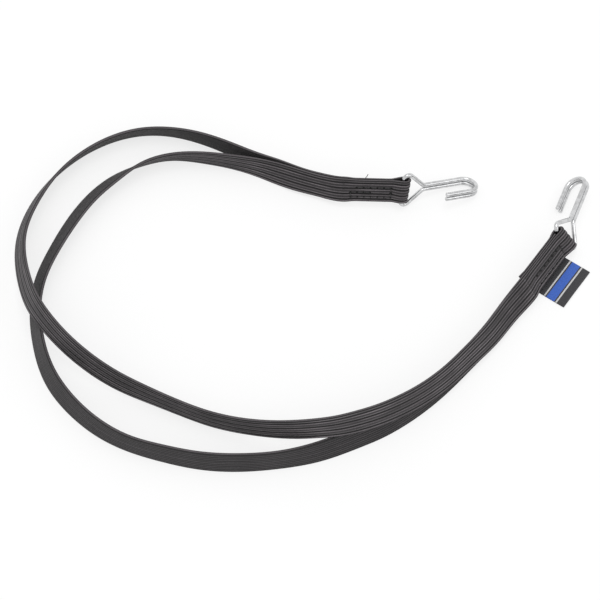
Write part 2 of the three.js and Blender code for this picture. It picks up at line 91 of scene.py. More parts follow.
INNER_ROUTE = np.array([
    [-0.0121, 0.0834, 0.0004, 108.0], [-0.0242, 0.0881, 0.0, 98.4], [-0.0426, 0.0931, 0.0, 84.7],
    [-0.0612, 0.0962, 0.0, 76.9], [-0.0796, 0.0967, 0.0, 67.2], [-0.0977, 0.0912, 0.0, 60.3],
    [-0.1119, 0.0822, 0.0, 48.2], [-0.1249, 0.0691, 0.0, 45.8], [-0.1368, 0.0501, 0.0, 48.0],
    [-0.1455, 0.0310, 0.0, 51.5], [-0.1518, 0.0121, 0.0, 55.5], [-0.1537, -0.0080, 0.0, 62.0],
    [-0.1509, -0.0291, 0.0, 66.0], [-0.1418, -0.0546, 0.0, 67.8], [-0.1282, -0.0731, 0.0, 72.8],
    [-0.1115, -0.0876, 0.0, 78.4], [-0.0940, -0.0970, 0.0, 83.0], [-0.0775, -0.1022, 0.0, 81.9],
    [-0.0552, -0.1070, 0.0, 80.2], [-0.0331, -0.1082, 0.0, 80.0], [-0.0110, -0.1064, 0.0, 80.6],
    [0.0111, -0.1012, 0.0, 74.5],
])
BESIDE_RIGHT_HOOK = np.array([
    [0.0320, -0.0927, 0.0, 70.8, 0.0144], [0.0440, -0.0871, 0.0, 70.0, 0.0122],
    [0.0570, -0.0792, 0.0, 69.2, 0.0096], [0.0700, -0.0693, 0.0, 68.4, 0.0069],
    [0.0848, -0.0552, 0.0001, 66.4, 0.0041], [0.0976, -0.0410, 0.0003, 63.3, 0.0025],
    [0.1095, -0.0273, 0.0006, 59.0, 0.0015], [0.1219, -0.0106, 0.0011, 55.0, 0.0009],
])

ALONG_X = np.array([1.0, 0.0, 0.0])
ALONG_Y = np.array([0.0, 1.0, 0.0])
OFF_AXIS = np.array([0.48, 0.62, 0.62])

Array = np.ndarray


class StrandName(Enum):
    """The two strands, by their place in the back of the loop."""

    OUTER = "outer"
    INNER = "inner"


class Face(Enum):
    """The two faces of the webbing: one with five strong ribs, one with many fine ones."""

    RIBBED = 1
    FINE = -1


class Bodies(str, Enum):
    """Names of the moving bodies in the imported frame."""

    STRAP = "strap"
    RIGHT_END = "right_end"
    LEFT_HOOK = "left_hook"
    RIGHT_HOOK = "right_hook"


class Slots(str, Enum):
    """Names of the record's material slots."""

    WEBBING = "webbing"
    RUBBER = "core_rubber"
    THREAD = "sewing_thread"
    WIRE = "hook_wire"
    LABEL = "label_cloth"


# Lines and surfaces


def unit(vectors: Array) -> Array:
    """Each vector divided by its own length.

    Args:
        vectors: one vector or an array of them, the coordinates last.

    Returns:
        The same directions with length one.
    """
    return vectors / np.linalg.norm(vectors, axis=-1, keepdims=True)


def smoothstep(low: float, high: float, value: Array) -> Array:
    """A soft step: nought below low, one above high, and 3t^2 - 2t^3 between them.

    Args:
        low: where the step starts.
        high: where the step ends.
        value: the positions to evaluate.

    Returns:
        The step's height at each position.
    """
    t = np.clip((value - low) / (high - low), 0.0, 1.0)
    return t * t * (3.0 - 2.0 * t)


@dataclass
class Spline:
    """A cubic spline through values at rising knots, with the given slopes at both ends.

    Each span is a cubic whose second derivative runs straight from one knot's value to the
    next, and those values solve one set of linear equations that makes the slopes agree.
    """

    knots: Array
    values: Array
    first_slope: Array
    last_slope: Array
    bends: Array = field(init=False)

    def __post_init__(self) -> None:
        """Solve the linear equations for the second derivative at every knot."""
        gaps = np.diff(self.knots)
        count = len(self.knots)
        slopes = np.diff(self.values, axis=0) / gaps[:, None]
        matrix = np.zeros((count, count))
        index = np.arange(count - 1)
        matrix[index, index] += 2.0 * gaps
        matrix[index + 1, index + 1] += 2.0 * gaps
        matrix[index, index + 1] = gaps
        matrix[index + 1, index] = gaps
        padded = np.vstack([self.first_slope, slopes, self.last_slope])
        self.bends = np.linalg.solve(matrix, 6.0 * np.diff(padded, axis=0))

    def at(self, where: Array) -> Array:
        """Values of the spline at the given places along the knots.

        Args:
            where: positions between the first and last knot.

        Returns:
            One row of values for each position.
        """
        span = np.clip(np.searchsorted(self.knots, where, side="right") - 1, 0, len(self.knots) - 2)
        gap = (self.knots[span + 1] - self.knots[span])[:, None]
        after = (where - self.knots[span])[:, None] / gap
        before = 1.0 - after
        straight = before * self.values[span] + after * self.values[span + 1]
        curved = (before**3 - before) * self.bends[span] + (after**3 - after) * self.bends[span + 1]
        return straight + curved * gap**2 / 6.0


def rounded_line(corners: Array, radii: Array, step: float) -> Array:
    """A line through corners, each replaced by an arc that touches both of its straight runs.

    At a corner with turn angle T and radius R the arc starts R tan(T/2) before the corner, and
    its centre lies R inward from there, square to the run.

    Args:
        corners: the corners, one row each.
        radii: the radius at each corner; the first and last are not used.
        step: the largest turn between two points of an arc, in degrees.

    Returns:
        The points of the line.
    """
    runs = unit(np.diff(corners, axis=0))
    pieces = [corners[:1]]
    for corner, radius, into, out in zip(corners[1:-1], radii[1:-1], runs[:-1], runs[1:]):
        turn = math.acos(float(np.clip(into @ out, -1.0, 1.0)))
        inward = unit(out - into * (into @ out))
        start = corner - into * radius * math.tan(turn / 2.0)
        angles = np.linspace(0.0, turn, max(2, math.ceil(math.degrees(turn) / step) + 1))[:, None]
        pieces.append(start + inward * radius * (1.0 - np.cos(angles)) + into * radius * np.sin(angles))
    pieces.append(corners[-1:])
    return np.vstack(pieces)


def lengths_along(points: Array) -> Array:
    """Distance from the first point to each point, along the line."""
    return np.concatenate([[0.0], np.cumsum(np.linalg.norm(np.diff(points, axis=0), axis=1))])


def evenly(points: Array, step: float) -> Array:
    """The same line with points at equal distances.

    Args:
        points: the line.
        step: the distance wanted between points.

    Returns:
        Points at nearly that distance, with both ends kept.
    """
    travelled = lengths_along(points)
    count = max(2, round(travelled[-1] / step) + 1)
    places = np.linspace(0.0, travelled[-1], count)
    return np.column_stack([np.interp(places, travelled, points[:, i]) for i in range(3)])


def directions_along(points: Array) -> Array:
    """Unit direction of a line at each of its points, from the points before and after it."""
    return unit(np.gradient(points, axis=0))


def everywhere(direction: Array, line: Array) -> Array:
    """The same direction at every point of a line."""
    return np.broadcast_to(direction, line.shape)


def circle_of(radius: float, sides: int) -> Array:
    """Corners of a regular polygon of the given radius, in order."""
    angles = np.linspace(0.0, 2.0 * math.pi, sides, endpoint=False)
    return radius * np.column_stack([np.cos(angles), np.sin(angles)])


@dataclass
class Sweep:
    """A section carried along a line: point(i, j) = centre i + a_j * across i + b_j * through i.

    The section is closed round the line and both ends are capped. Every vertex keeps its place
    in the unbent piece, in millimetres, for the finish to follow.
    """

    centres: Array
    across: Array
    through: Array
    section: Array
    scale: Array | None = None

    def grid(self) -> Array:
        """Points of the surface, one row of points for each ring.

        Returns:
            An array of rings by section points by three coordinates.
        """
        size = np.ones(len(self.centres)) if self.scale is None else self.scale
        a = self.section[None, :, 0, None] * size[:, None, None]
        b = self.section[None, :, 1, None] * size[:, None, None]
        return self.centres[:, None] + a * self.across[:, None] + b * self.through[:, None]

    def unbent(self, start: float = 0.0) -> Array:
        """Place of each vertex in the straightened piece: across, through and along, in mm.

        Args:
            start: the distance along the piece at the first ring, in metres.

        Returns:
            An array shaped like the grid.
        """
        along = start + lengths_along(self.centres)
        flat = np.broadcast_to(self.section[None], (len(along), *self.section.shape))
        rows = np.broadcast_to(along[:, None, None], (*flat.shape[:2], 1))
        return np.concatenate([flat, rows], axis=2) / MM


def tube_faces(rings: int, points: int) -> tuple[Array, list[list[int]]]:
    """Faces of a closed tube: four-sided ones between the rings, and one cap at each end.

    Args:
        rings: how many rings the tube has.
        points: how many points each ring has.

    Returns:
        The four-sided faces as rows of vertex numbers, and the two caps.
    """
    ring, point = np.meshgrid(np.arange(rings - 1), np.arange(points), indexing="ij")
    here = ring * points + point
    beside = ring * points + (point + 1) % points
    quads = np.stack([here, beside, beside + points, here + points], axis=-1).reshape(-1, 4)
    first = list(range(points))[::-1]
    last = [(rings - 1) * points + i for i in range(points)]
    return quads, [first, last]


def enclosed_volume(vertices: Array, quads: Array) -> float:
    """Volume inside four-sided faces, as a sum of the tetrahedra from the middle to each face.

    Args:
        vertices: the vertices.
        quads: the faces.

    Returns:
        The volume, negative where the faces point inwards.
    """
    corner = (vertices - vertices.mean(axis=0))[quads]
    halves = [(0, 1, 2), (0, 2, 3)]
    return float(sum(
        np.einsum("ij,ij->", corner[:, a], np.cross(corner[:, b], corner[:, c])) / 6.0
        for a, b, c in halves
    ))


def build_piece(
    name: str, grid: Array, unbent: Array, material: bpy.types.Material, pull: Array | None = None
) -> bpy.types.Object:
    """Turn a grid of rings into a closed, capped mesh object at the origin.

    Args:
        name: the piece's name.
        grid: rings by points by three, in metres.
        unbent: each vertex's place in the straightened piece, in millimetres.
        material: the finish.
        pull: how hard the stitches pull at each vertex, which the finish turns into painted shade at the
            holes, or None.

    Returns:
        The new object, with its faces pointing outwards.
    """
    rings, points = grid.shape[:2]
    vertices = grid.reshape(-1, 3)
    quads, caps = tube_faces(rings, points)
    if enclosed_volume(vertices, quads) < 0.0:
        quads, caps = quads[:, ::-1], [cap[::-1] for cap in caps]
    mesh = bpy.data.meshes.new(name)
    mesh.from_pydata(vertices.tolist(), [], quads.tolist() + caps)
    smooth = np.ones(len(quads) + len(caps), dtype=bool)
    smooth[-len(caps):] = False
    mesh.polygons.foreach_set("use_smooth", smooth)
    place = mesh.attributes.new("unbent", "FLOAT_VECTOR", "POINT")
    place.data.foreach_set("vector", unbent.reshape(-1).astype(np.float32))
    if pull is not None:
        strength = mesh.attributes.new("pull", "FLOAT", "POINT")
        strength.data.foreach_set("value", pull.reshape(-1).astype(np.float32))
    mesh.materials.append(material)
    mesh.update()
    piece = bpy.data.objects.new(name, mesh)
    bpy.context.scene.collection.objects.link(piece)
    LOG.info("%s: %d faces", name, len(mesh.polygons))
    return piece


def join_pieces(name: str, parts: list[bpy.types.Object]) -> bpy.types.Object:
    """Join several mesh objects into one, under a new name.

    Args:
        name: the name of the joined piece.
        parts: the objects, each at the origin.

    Returns:
        The first object, which now holds the meshes of all.
    """
    bpy.ops.object.select_all(action="DESELECT")
    for part in parts:
        part.select_set(True)
    bpy.context.view_layer.objects.active = parts[0]
    bpy.ops.object.join()
    parts[0].name = parts[0].data.name = name
    return parts[0]


# Finishes

Socket = bpy.types.NodeSocket


class NodeBench:
    """Short calls that lay out the nodes of one material."""

    def __init__(self, name: str) -> None:
        """Start an empty material of that name, with a surface output."""
        self.material = bpy.data.materials.new(name)
        self.clear(self.material, "ShaderNodeOutputMaterial")

    def clear(self, owner: bpy.types.ID, output: str) -> None:
        """Empty the nodes of a material or world, and give it an output.

        Args:
            owner: the material or world.
            output: the output node's type name.
        """
        owner.use_nodes = True
        self.tree = owner.node_tree
        self.tree.nodes.clear()
        self.output = self.tree.nodes.new(output)

    def white_rays(self) -> Socket:
        """Find which rays see plain white.

        Returns:
            One where the camera, gloss or glass looks, and nought for other light.
        """
        rays = self.add("ShaderNodeLightPath", {}).outputs
        seen = self.math("MAXIMUM", rays["Is Camera Ray"], rays["Is Glossy Ray"])
        return self.math("MAXIMUM", seen, rays["Is Transmission Ray"])

    def surface(self, shader: bpy.types.Node) -> None:
        """Join a shader to the output."""
        self.tree.links.new(shader.outputs[0], self.output.inputs["Surface"])

    def add(self, kind: str, inputs: dict[str | int, object], **settings: object) -> bpy.types.Node:
        """Add a node, with its settings and its inputs.

        Args:
            kind: the node's type name.
            inputs: a value or another node's socket for each named or numbered input.
            settings: properties of the node.

        Returns:
            The new node.
        """
        node = self.tree.nodes.new(kind)
        for key, value in settings.items():
            setattr(node, key, value)
        for key, value in inputs.items():
            if isinstance(value, Socket):
                self.tree.links.new(value, node.inputs[key])
            else:
                node.inputs[key].default_value = value
        return node

    def math(self, operation: str, a: object, b: object = 0.0, c: object = 0.0) -> Socket:
        """The result of one arithmetic step on numbers or sockets."""
        return self.add("ShaderNodeMath", {0: a, 1: b, 2: c}, operation=operation).outputs[0]

    def times(self, a: object, b: object, plus: object | None = None) -> Socket:
        """Multiply two numbers or sockets, and add a third where one is given.

        Args:
            a: the first factor.
            b: the second factor.
            plus: what is added, or None.

        Returns:
            The product, or a * b + plus.
        """
        if plus is None:
            return self.math("MULTIPLY", a, b)
        return self.math("MULTIPLY_ADD", a, b, plus)

    def size(self, value: object) -> Socket:
        """A number or socket without its sign."""
        return self.math("ABSOLUTE", value)

    def step(
        self, value: Socket, low: float, high: float, bottom: float = 0.0, top: float = 1.0
    ) -> Socket:
        """A soft step of a value: bottom below low, top above high, 3t^2 - 2t^3 between them.

        Args:
            value: the value.
            low: where the step starts.
            high: where the step ends.
            bottom: the result below the step.
            top: the result above it.

        Returns:
            The result of the step.
        """
        inputs = {0: value, 1: low, 2: high, 3: bottom, 4: top}
        node = self.add("ShaderNodeMapRange", inputs, interpolation_type="SMOOTHSTEP")
        return node.outputs[0]

    def unbent(self) -> Socket:
        """Each point's place in the straightened piece, in millimetres."""
        node = self.add("ShaderNodeAttribute", {}, attribute_name="unbent")
        return node.outputs["Vector"]

    def parts(self, vector: Socket) -> tuple[Socket, Socket, Socket]:
        """The three coordinates of a vector."""
        outputs = self.add("ShaderNodeSeparateXYZ", {0: vector}).outputs
        return outputs[0], outputs[1], outputs[2]

    def stretched(self, vector: Socket, factors: tuple[float, float, float]) -> Socket:
        """A vector whose coordinates are multiplied by three factors."""
        return self.add("ShaderNodeMapping", {"Vector": vector, "Scale": factors}).outputs[0]

    def noise(self, vector: Socket, scale: float, detail: float = 2.0, roughness: float = 0.5) -> Socket:
        """Cloudy noise between about 0.2 and 0.8."""
        inputs = {"Vector": vector, "Scale": scale, "Detail": detail, "Roughness": roughness}
        return self.add("ShaderNodeTexNoise", inputs).outputs[0]

    def blend(self, share: Socket, first: object, second: object, kind: str = "MIX") -> Socket:
        """Two colours mixed by a share."""
        inputs = {0: share, 6: first, 7: second}
        return self.add("ShaderNodeMix", inputs, data_type="RGBA", blend_type=kind).outputs[2]

    def shaded(self, tone: object, share: Socket) -> Socket:
        """A colour whose three parts are each multiplied by the same share."""
        shade = self.add("ShaderNodeCombineXYZ", {0: share, 1: share, 2: share}).outputs[0]
        return self.blend(1.0, tone, shade, "MULTIPLY")

    def bump(self, height: Socket, distance: float, strength: float = 1.0) -> Socket:
        """A normal tilted by the slope of a height field, distance metres tall."""
        inputs = {"Strength": strength, "Distance": distance, "Height": height}
        return self.add("ShaderNodeBump", inputs).outputs[0]

    def finish(self, **inputs: object) -> bpy.types.Material:
        """Close the material with a surface shader.

        Args:
            inputs: the shader's inputs, an underscore standing for each space.

        Returns:
            The finished material.
        """
        named = {key.replace("_", " "): value for key, value in inputs.items()}
        shader = self.add("ShaderNodeBsdfPrincipled", named)
        self.surface(shader)
        return self.material


class WorldBench(NodeBench):
    """The same short calls for the nodes of a world."""

    def __init__(self, world: bpy.types.World) -> None:
        """Empty the world's nodes and give it an output."""
        self.clear(world, "ShaderNodeOutputWorld")


Colour = tuple[float, float, float, float]


def grey(value: float, tint: tuple[float, float, float] = (1.0, 1.0, 1.0)) -> Colour:
    """A linear grey of the given value, multiplied by a tint."""
    return (value * tint[0], value * tint[1], value * tint[2], 1.0)


@dataclass(frozen=True)
class WebbingFinish:
    """Black elastic webbing: covered rubber ribs, slanted threads, lint, painted groove shade and
    highlights.
    """

    name: str = "black_elastic_webbing"
    half_width_mm: float = 8.0
    ribbed_pitch_mm: float = 4.0
    fine_pitch_mm: float = 1.6
    line_pitch_mm: float = 2.0
    column_mm: float = 0.8
    stitch_mm: float = 1.05
    slant: float = 0.9
    lint_scale: float = 2.6
    patch_scale: float = 0.06
    streak_scale: float = 2.2
    edge_from_mm: float = 0.5
    edge_to_mm: float = 0.2
    lint_share: float = 1.5
    thread_share: float = 0.08
    tint: tuple[float, float, float] = (1.06, 0.95, 1.02)
    # Painted shade: the colour laid into the grooves, and into a thin band on each face beside the edges.
    groove: float = 0.0015
    body: float = 0.032
    # Painted highlight: lighter bands down the middles of the strong ribs.
    painted_rib_highlight: float = 0.056
    # Painted highlight: the thin light line beside each groove of the ribbed face.
    bright: float = 0.19
    # Painted highlight along the rounded edges.
    edge: float = 0.075
    relief: float = 0.00007

    def wave(self, bench: NodeBench, across: Socket, pitch: float) -> Socket:
        """Size of a cosine across the webbing: nought in each groove, one halfway between two."""
        angle = bench.times(across, math.pi / pitch)
        return bench.size(bench.math("COSINE", angle))

    def material(self) -> bpy.types.Material:
        """Build the webbing's material.

        Returns:
            Painted shade in grooves and at stitch holes, painted highlights beside grooves and on edges,
            threads, lint.
        """
        bench = NodeBench(self.name)
        place = bench.unbent()
        across, through, along = bench.parts(place)
        ribbed = bench.step(through, -0.1, 0.1)
        strong = self.wave(bench, across, self.ribbed_pitch_mm)
        fine = self.wave(bench, across, self.fine_pitch_mm)
        between = self.wave(bench, across, self.line_pitch_mm)
        column = bench.math("FRACT", bench.math("DIVIDE", across, self.column_mm))
        slant = bench.size(bench.math("SUBTRACT", column, 0.5))
        phase = bench.times(slant, self.slant, bench.math("DIVIDE", along, self.stitch_mm))
        threads = bench.math("SINE", bench.times(phase, 2.0 * math.pi))
        lint = bench.noise(bench.stretched(place, (1.0, 1.0, 0.45)), self.lint_scale, 3.0, 0.65)
        patches = bench.noise(bench.stretched(place, (0.6, 0.6, 1.0)), self.patch_scale, 2.0, 0.5)
        streaks = bench.noise(bench.stretched(place, (1.0, 0.3, 0.02)), self.streak_scale, 2.0, 0.5)
        # Painted highlight down the middles of the strong ribs, broken by lengthwise streaks.
        lit = bench.times(bench.step(strong, 0.5, 1.0), bench.step(streaks, 0.35, 0.7))
        tone = bench.blend(lit, grey(self.body, self.tint), grey(self.painted_rib_highlight, self.tint))
        # Painted highlight: a thin light line halfway between each strong groove and rib middle, on the
        # ribbed face only, broken by streaks.
        line = bench.times(bench.step(between, 0.1, 0.55, 0.9, 0.0), ribbed)
        line = bench.times(line, bench.step(streaks, 0.38, 0.62, 0.2, 1.0))
        tone = bench.blend(line, tone, grey(self.bright, self.tint))
        # Painted shade in the grooves: the fine grooves on one face; on the other the strong grooves and,
        # at half strength, the rib middles.
        fine_groove = bench.step(fine, 0.3, 0.9, 0.95, 0.0)
        weak_groove_shade = bench.step(between, 0.75, 1.0, 0.0, 0.5)
        strong_groove_shade = bench.math("MAXIMUM", bench.step(strong, 0.2, 0.5, 1.0, 0.0), weak_groove_shade)
        groove_shade = bench.add("ShaderNodeMix", {0: ribbed, 2: fine_groove, 3: strong_groove_shade}).outputs[0]
        tone = bench.blend(groove_shade, tone, grey(self.groove, self.tint))
        # Painted highlight on the rounded edge, with painted shade in the groove colour on each face just
        # inside it.
        reach = bench.size(across)
        low, high = self.half_width_mm - self.edge_from_mm, self.half_width_mm - self.edge_to_mm
        depth = bench.size(through)
        side = bench.blend(
            bench.step(depth, 0.35, 0.75), grey(self.edge, self.tint), grey(self.groove, self.tint)
        )
        tone = bench.blend(bench.step(reach, low, high), tone, side)
        speckle_and_hole_shade = bench.times(bench.math("SUBTRACT", lint, 0.5), self.lint_share, 1.0)
        speckle_and_hole_shade = bench.times(threads, self.thread_share, speckle_and_hole_shade)
        speckle_and_hole_shade = bench.times(speckle_and_hole_shade, bench.step(patches, 0.3, 0.7, 0.88, 1.14))
        # Painted shade at the stitch holes: the tone falls to about three hundredths where the pull is
        # strongest.
        pull = bench.add("ShaderNodeAttribute", {}, attribute_name="pull").outputs["Fac"]
        speckle_and_hole_shade = bench.times(speckle_and_hole_shade, bench.step(pull, 0.33, 0.7, 1.0, 0.03))
        tone = bench.shaded(tone, speckle_and_hole_shade)
        height = bench.times(lint, 1.2, bench.times(threads, 0.3))
        return bench.finish(
            Base_Color=tone, Roughness=0.78, Specular_IOR_Level=0.35, Sheen_Weight=0.12,
            Sheen_Roughness=0.45, Normal=bench.bump(height, self.relief),
        )


@dataclass(frozen=True)
class ThreadFinish:
    """Black sewing thread of three twisted plies, with painted shade between them."""

    name: str = "black_sewing_thread"
    plies: float = 3.0
    twist_mm: float = 1.3
    # Painted shade between the plies, at the low end of the lint's random tone.
    dark: float = 0.006
    light: float = 0.030

    def material(self) -> bpy.types.Material:
        """Build the thread's material.

        Returns:
            Plies that wind round the thread, with painted shade between them and random lint tone.
        """
        bench = NodeBench(self.name)
        place = bench.unbent()
        across, through, along = bench.parts(place)
        angle = bench.math("ARCTAN2", through, across)
        turns = bench.times(along, 2.0 * math.pi / self.twist_mm)
        ply = bench.math("SINE", bench.times(angle, self.plies, turns))
        lint = bench.noise(place, 5.0, 2.0, 0.6)
        # The tone is partly random lint and partly painted shade that follows the plies.
        share = bench.step(bench.times(lint, 1.2, ply), -0.8, 1.6)
        tone = bench.blend(share, grey(self.dark), grey(self.light))
        return bench.finish(
            Base_Color=tone, Roughness=0.55, Sheen_Weight=0.1, Normal=bench.bump(ply, 0.00003),
        )


@dataclass(frozen=True)
class RubberFinish:
    """Slit black rubber, dusted with talc."""

    name: str = "black_core_rubber"

    def material(self) -> bpy.types.Material:
        """Build the rubber's material.

        Returns:
            Dull black with pale dust in streaks along the core.
        """
        bench = NodeBench(self.name)
        place = bench.unbent()
        dust = bench.noise(bench.stretched(place, (2.0, 2.0, 0.3)), 1.5, 4.0, 0.6)
        tone = bench.blend(bench.step(dust, 0.45, 0.75), grey(0.014), grey(0.07))
        return bench.finish(Base_Color=tone, Roughness=0.7, Normal=bench.bump(dust, 0.00005))


@dataclass(frozen=True)
class WireFinish:
    """Bright plated steel wire with faint drawing marks along it."""

    name: str = "bright_plated_wire"
    bright: float = 0.68
    dull: float = 0.52
    tint: tuple[float, float, float] = (0.985, 0.99, 1.0)

    def material(self) -> bpy.types.Material:
        """Build the wire's material.

        Returns:
            Metal whose roughness and tone follow marks stretched along the wire.
        """
        bench = NodeBench(self.name)
        place = bench.unbent()
        marks = bench.noise(bench.stretched(place, (3.0, 3.0, 0.06)), 1.6, 3.0, 0.6)
        clouds = bench.noise(place, 0.35, 3.0, 0.55)
        pits = bench.noise(place, 4.0, 2.0, 0.5)
        tone = bench.blend(
            bench.step(clouds, 0.35, 0.65), grey(self.dull, self.tint), grey(self.bright, self.tint)
        )
        rough = bench.times(marks, 0.12, 0.10)
        rough = bench.times(bench.step(pits, 0.65, 0.8), 0.06, rough)
        height = bench.times(pits, 0.2, marks)
        return bench.finish(
            Base_Color=tone, Metallic=1.0, Roughness=rough, Normal=bench.bump(height, 0.000004),
        )


@dataclass(frozen=True)
class LabelFinish:
    """Dark woven label cloth with plain stripes along its free edge."""

    name: str = "woven_label_cloth"
    thread_mm: float = 0.34
    weft_share: float = 0.8
    edge_blur_mm: float = 0.08
    ground: float = 0.030
    band: tuple[float, float, float, float] = (0.035, 0.12, 0.52, 1.0)
    pale: float = 0.62
    band_from_mm: float = 7.0
    band_to_mm: float = 12.4
    pale_width_mm: float = 0.9
    pale_gap_mm: float = 0.8

    def material(self) -> bpy.types.Material:
        """Build the label's material.

        Returns:
            A fine square weave, with one band between two thin pale lines.
        """
        bench = NodeBench(self.name)
        place = bench.unbent()
        across, _, along = bench.parts(place)
        from_fold = bench.size(along)
        wobble = bench.math("SUBTRACT", bench.noise(place, 1.5, 2.0), 0.5)
        edge = bench.times(wobble, 0.18, from_fold)
        tone: object = grey(self.ground, (0.98, 0.96, 1.1))
        first_pale = self.band_from_mm - self.pale_gap_mm - self.pale_width_mm
        last_pale = self.band_to_mm + self.pale_gap_mm
        blur = self.edge_blur_mm
        stripes = (
            (self.band_from_mm, self.band_to_mm, self.band),
            (first_pale, first_pale + self.pale_width_mm, grey(self.pale)),
            (last_pale, last_pale + self.pale_width_mm, grey(self.pale)),
        )
        for low, high, colour in stripes:
            after_low = bench.step(edge, low - blur, low + blur)
            before_high = bench.step(edge, high - blur, high + blur, 1.0, 0.0)
            inside = bench.times(after_low, before_high)
            tone = bench.blend(inside, tone, colour)
        frequency = math.pi / self.thread_mm
        warp, weft = (
            bench.size(bench.math("SINE", bench.times(way, count)))
            for way, count in ((across, frequency), (along, frequency * self.weft_share))
        )
        weave = bench.times(warp, weft)
        fuzz = bench.noise(place, 3.0, 3.0, 0.6)
        shade = bench.times(weave, 0.45, bench.times(fuzz, 0.5, 0.5))
        tone = bench.shaded(tone, shade)
        height = bench.times(fuzz, 0.5, weave)
        return bench.finish(
            Base_Color=tone, Roughness=0.62, Sheen_Weight=0.1, Normal=bench.bump(height, 0.00006),
        )


@dataclass(frozen=True)
class FloorFinish:
    """Pale floor that looks white to the camera and keeps the shadow."""

    name: str = "pale_floor"
    white_share: float = 0.72
    colour: float = 0.93

    def material(self) -> bpy.types.Material:
        """Build the floor's material.

        Returns:
            Matt white, part of which is plain white light where the camera, glass or gloss looks.
        """
        bench = NodeBench(self.name)
        matt = bench.add("ShaderNodeBsdfDiffuse", {"Color": grey(self.colour)})
        white = bench.add("ShaderNodeEmission", {"Color": grey(1.0), "Strength": 1.0})
        share = bench.times(bench.white_rays(), self.white_share)
        both = bench.add("ShaderNodeMixShader", {0: share, 1: matt.outputs[0], 2: white.outputs[0]})
        bench.surface(both)
        return bench.material


# The strap


def webbing_axes(run: Array, lean: Array) -> tuple[Array, Array]:
    """Directions across and out of the webbing where it runs and leans as given.

    Inward is level and square to the run, upward is run x inward, across is cos(lean) inward
    plus sin(lean) upward, and outward is run x across.

    Args:
        run: unit directions of travel.
        lean: angle between the webbing's width and the table, in degrees.

    Returns:
        The across and outward directions.
    """
    angle = np.radians(lean)[..., None]
    zero = np.zeros(run.shape[:-1])
    inward = unit(np.stack([-run[..., 1], run[..., 0], zero], axis=-1))
    upward = np.cross(run, inward)
    across = np.cos(angle) * inward + np.sin(angle) * upward
    return across, np.cross(run, across)


@dataclass
class EndPose:
    """Where the bar of one hook lies, and how its end of the strap and the hook are turned."""

    bar: tuple[float, float, float]
    heading: float
    pitch: float
    lean: float
    skew: float
    swing: float
    run_sign: int
    return_side: int

    def run(self) -> Array:
        """Direction of travel along the strap at this end: its heading, tilted by its pitch.

        Returns:
            A unit direction.
        """
        heading, pitch = math.radians(self.heading), math.radians(self.pitch)
        level = math.cos(pitch)
        return np.array([level * math.cos(heading), level * math.sin(heading), math.sin(pitch)])

    def axes(self) -> tuple[Array, Array]:
        """Directions across and out of the webbing at this end."""
        return webbing_axes(self.run(), np.array(self.lean))

    def frame(self) -> Array:
        """The sewn end's own directions: back along the strap, to the upper edge, and under."""
        across, outward = self.axes()
        return np.stack([self.run() * self.run_sign, across, outward * self.run_sign])

    def to_world(self, points: Array) -> Array:
        """Points of the sewn end's own frame, placed in the model."""
        return points @ self.frame() + np.array(self.bar) + RECENTRE

    def hook_frame(self) -> Array:
        """The hook's own directions: along its bar, out to its bend, and across to its return.

        Returns:
            Three rows in the sewn end's own frame.
        """
        skew, swing = math.radians(self.skew), math.radians(self.swing)
        straight = np.array([-math.cos(skew), -math.sin(skew), 0.0])
        reach = straight * math.cos(swing) + UP * math.sin(swing)
        to_return = (UP * math.cos(swing) - straight * math.sin(swing)) * self.return_side
        return np.stack([np.cross(reach, to_return), reach, to_return])


LEFT_END = EndPose((0.0615, 0.06887, 0.01235), 177.4, -1.3, 112.0, 6.0, 26.0, 1, -1)
RIGHT_END = EndPose((0.1565, 0.0353, 0.01065), 54.0, 0.0, 52.0, -9.0, 9.4, -1, 1)


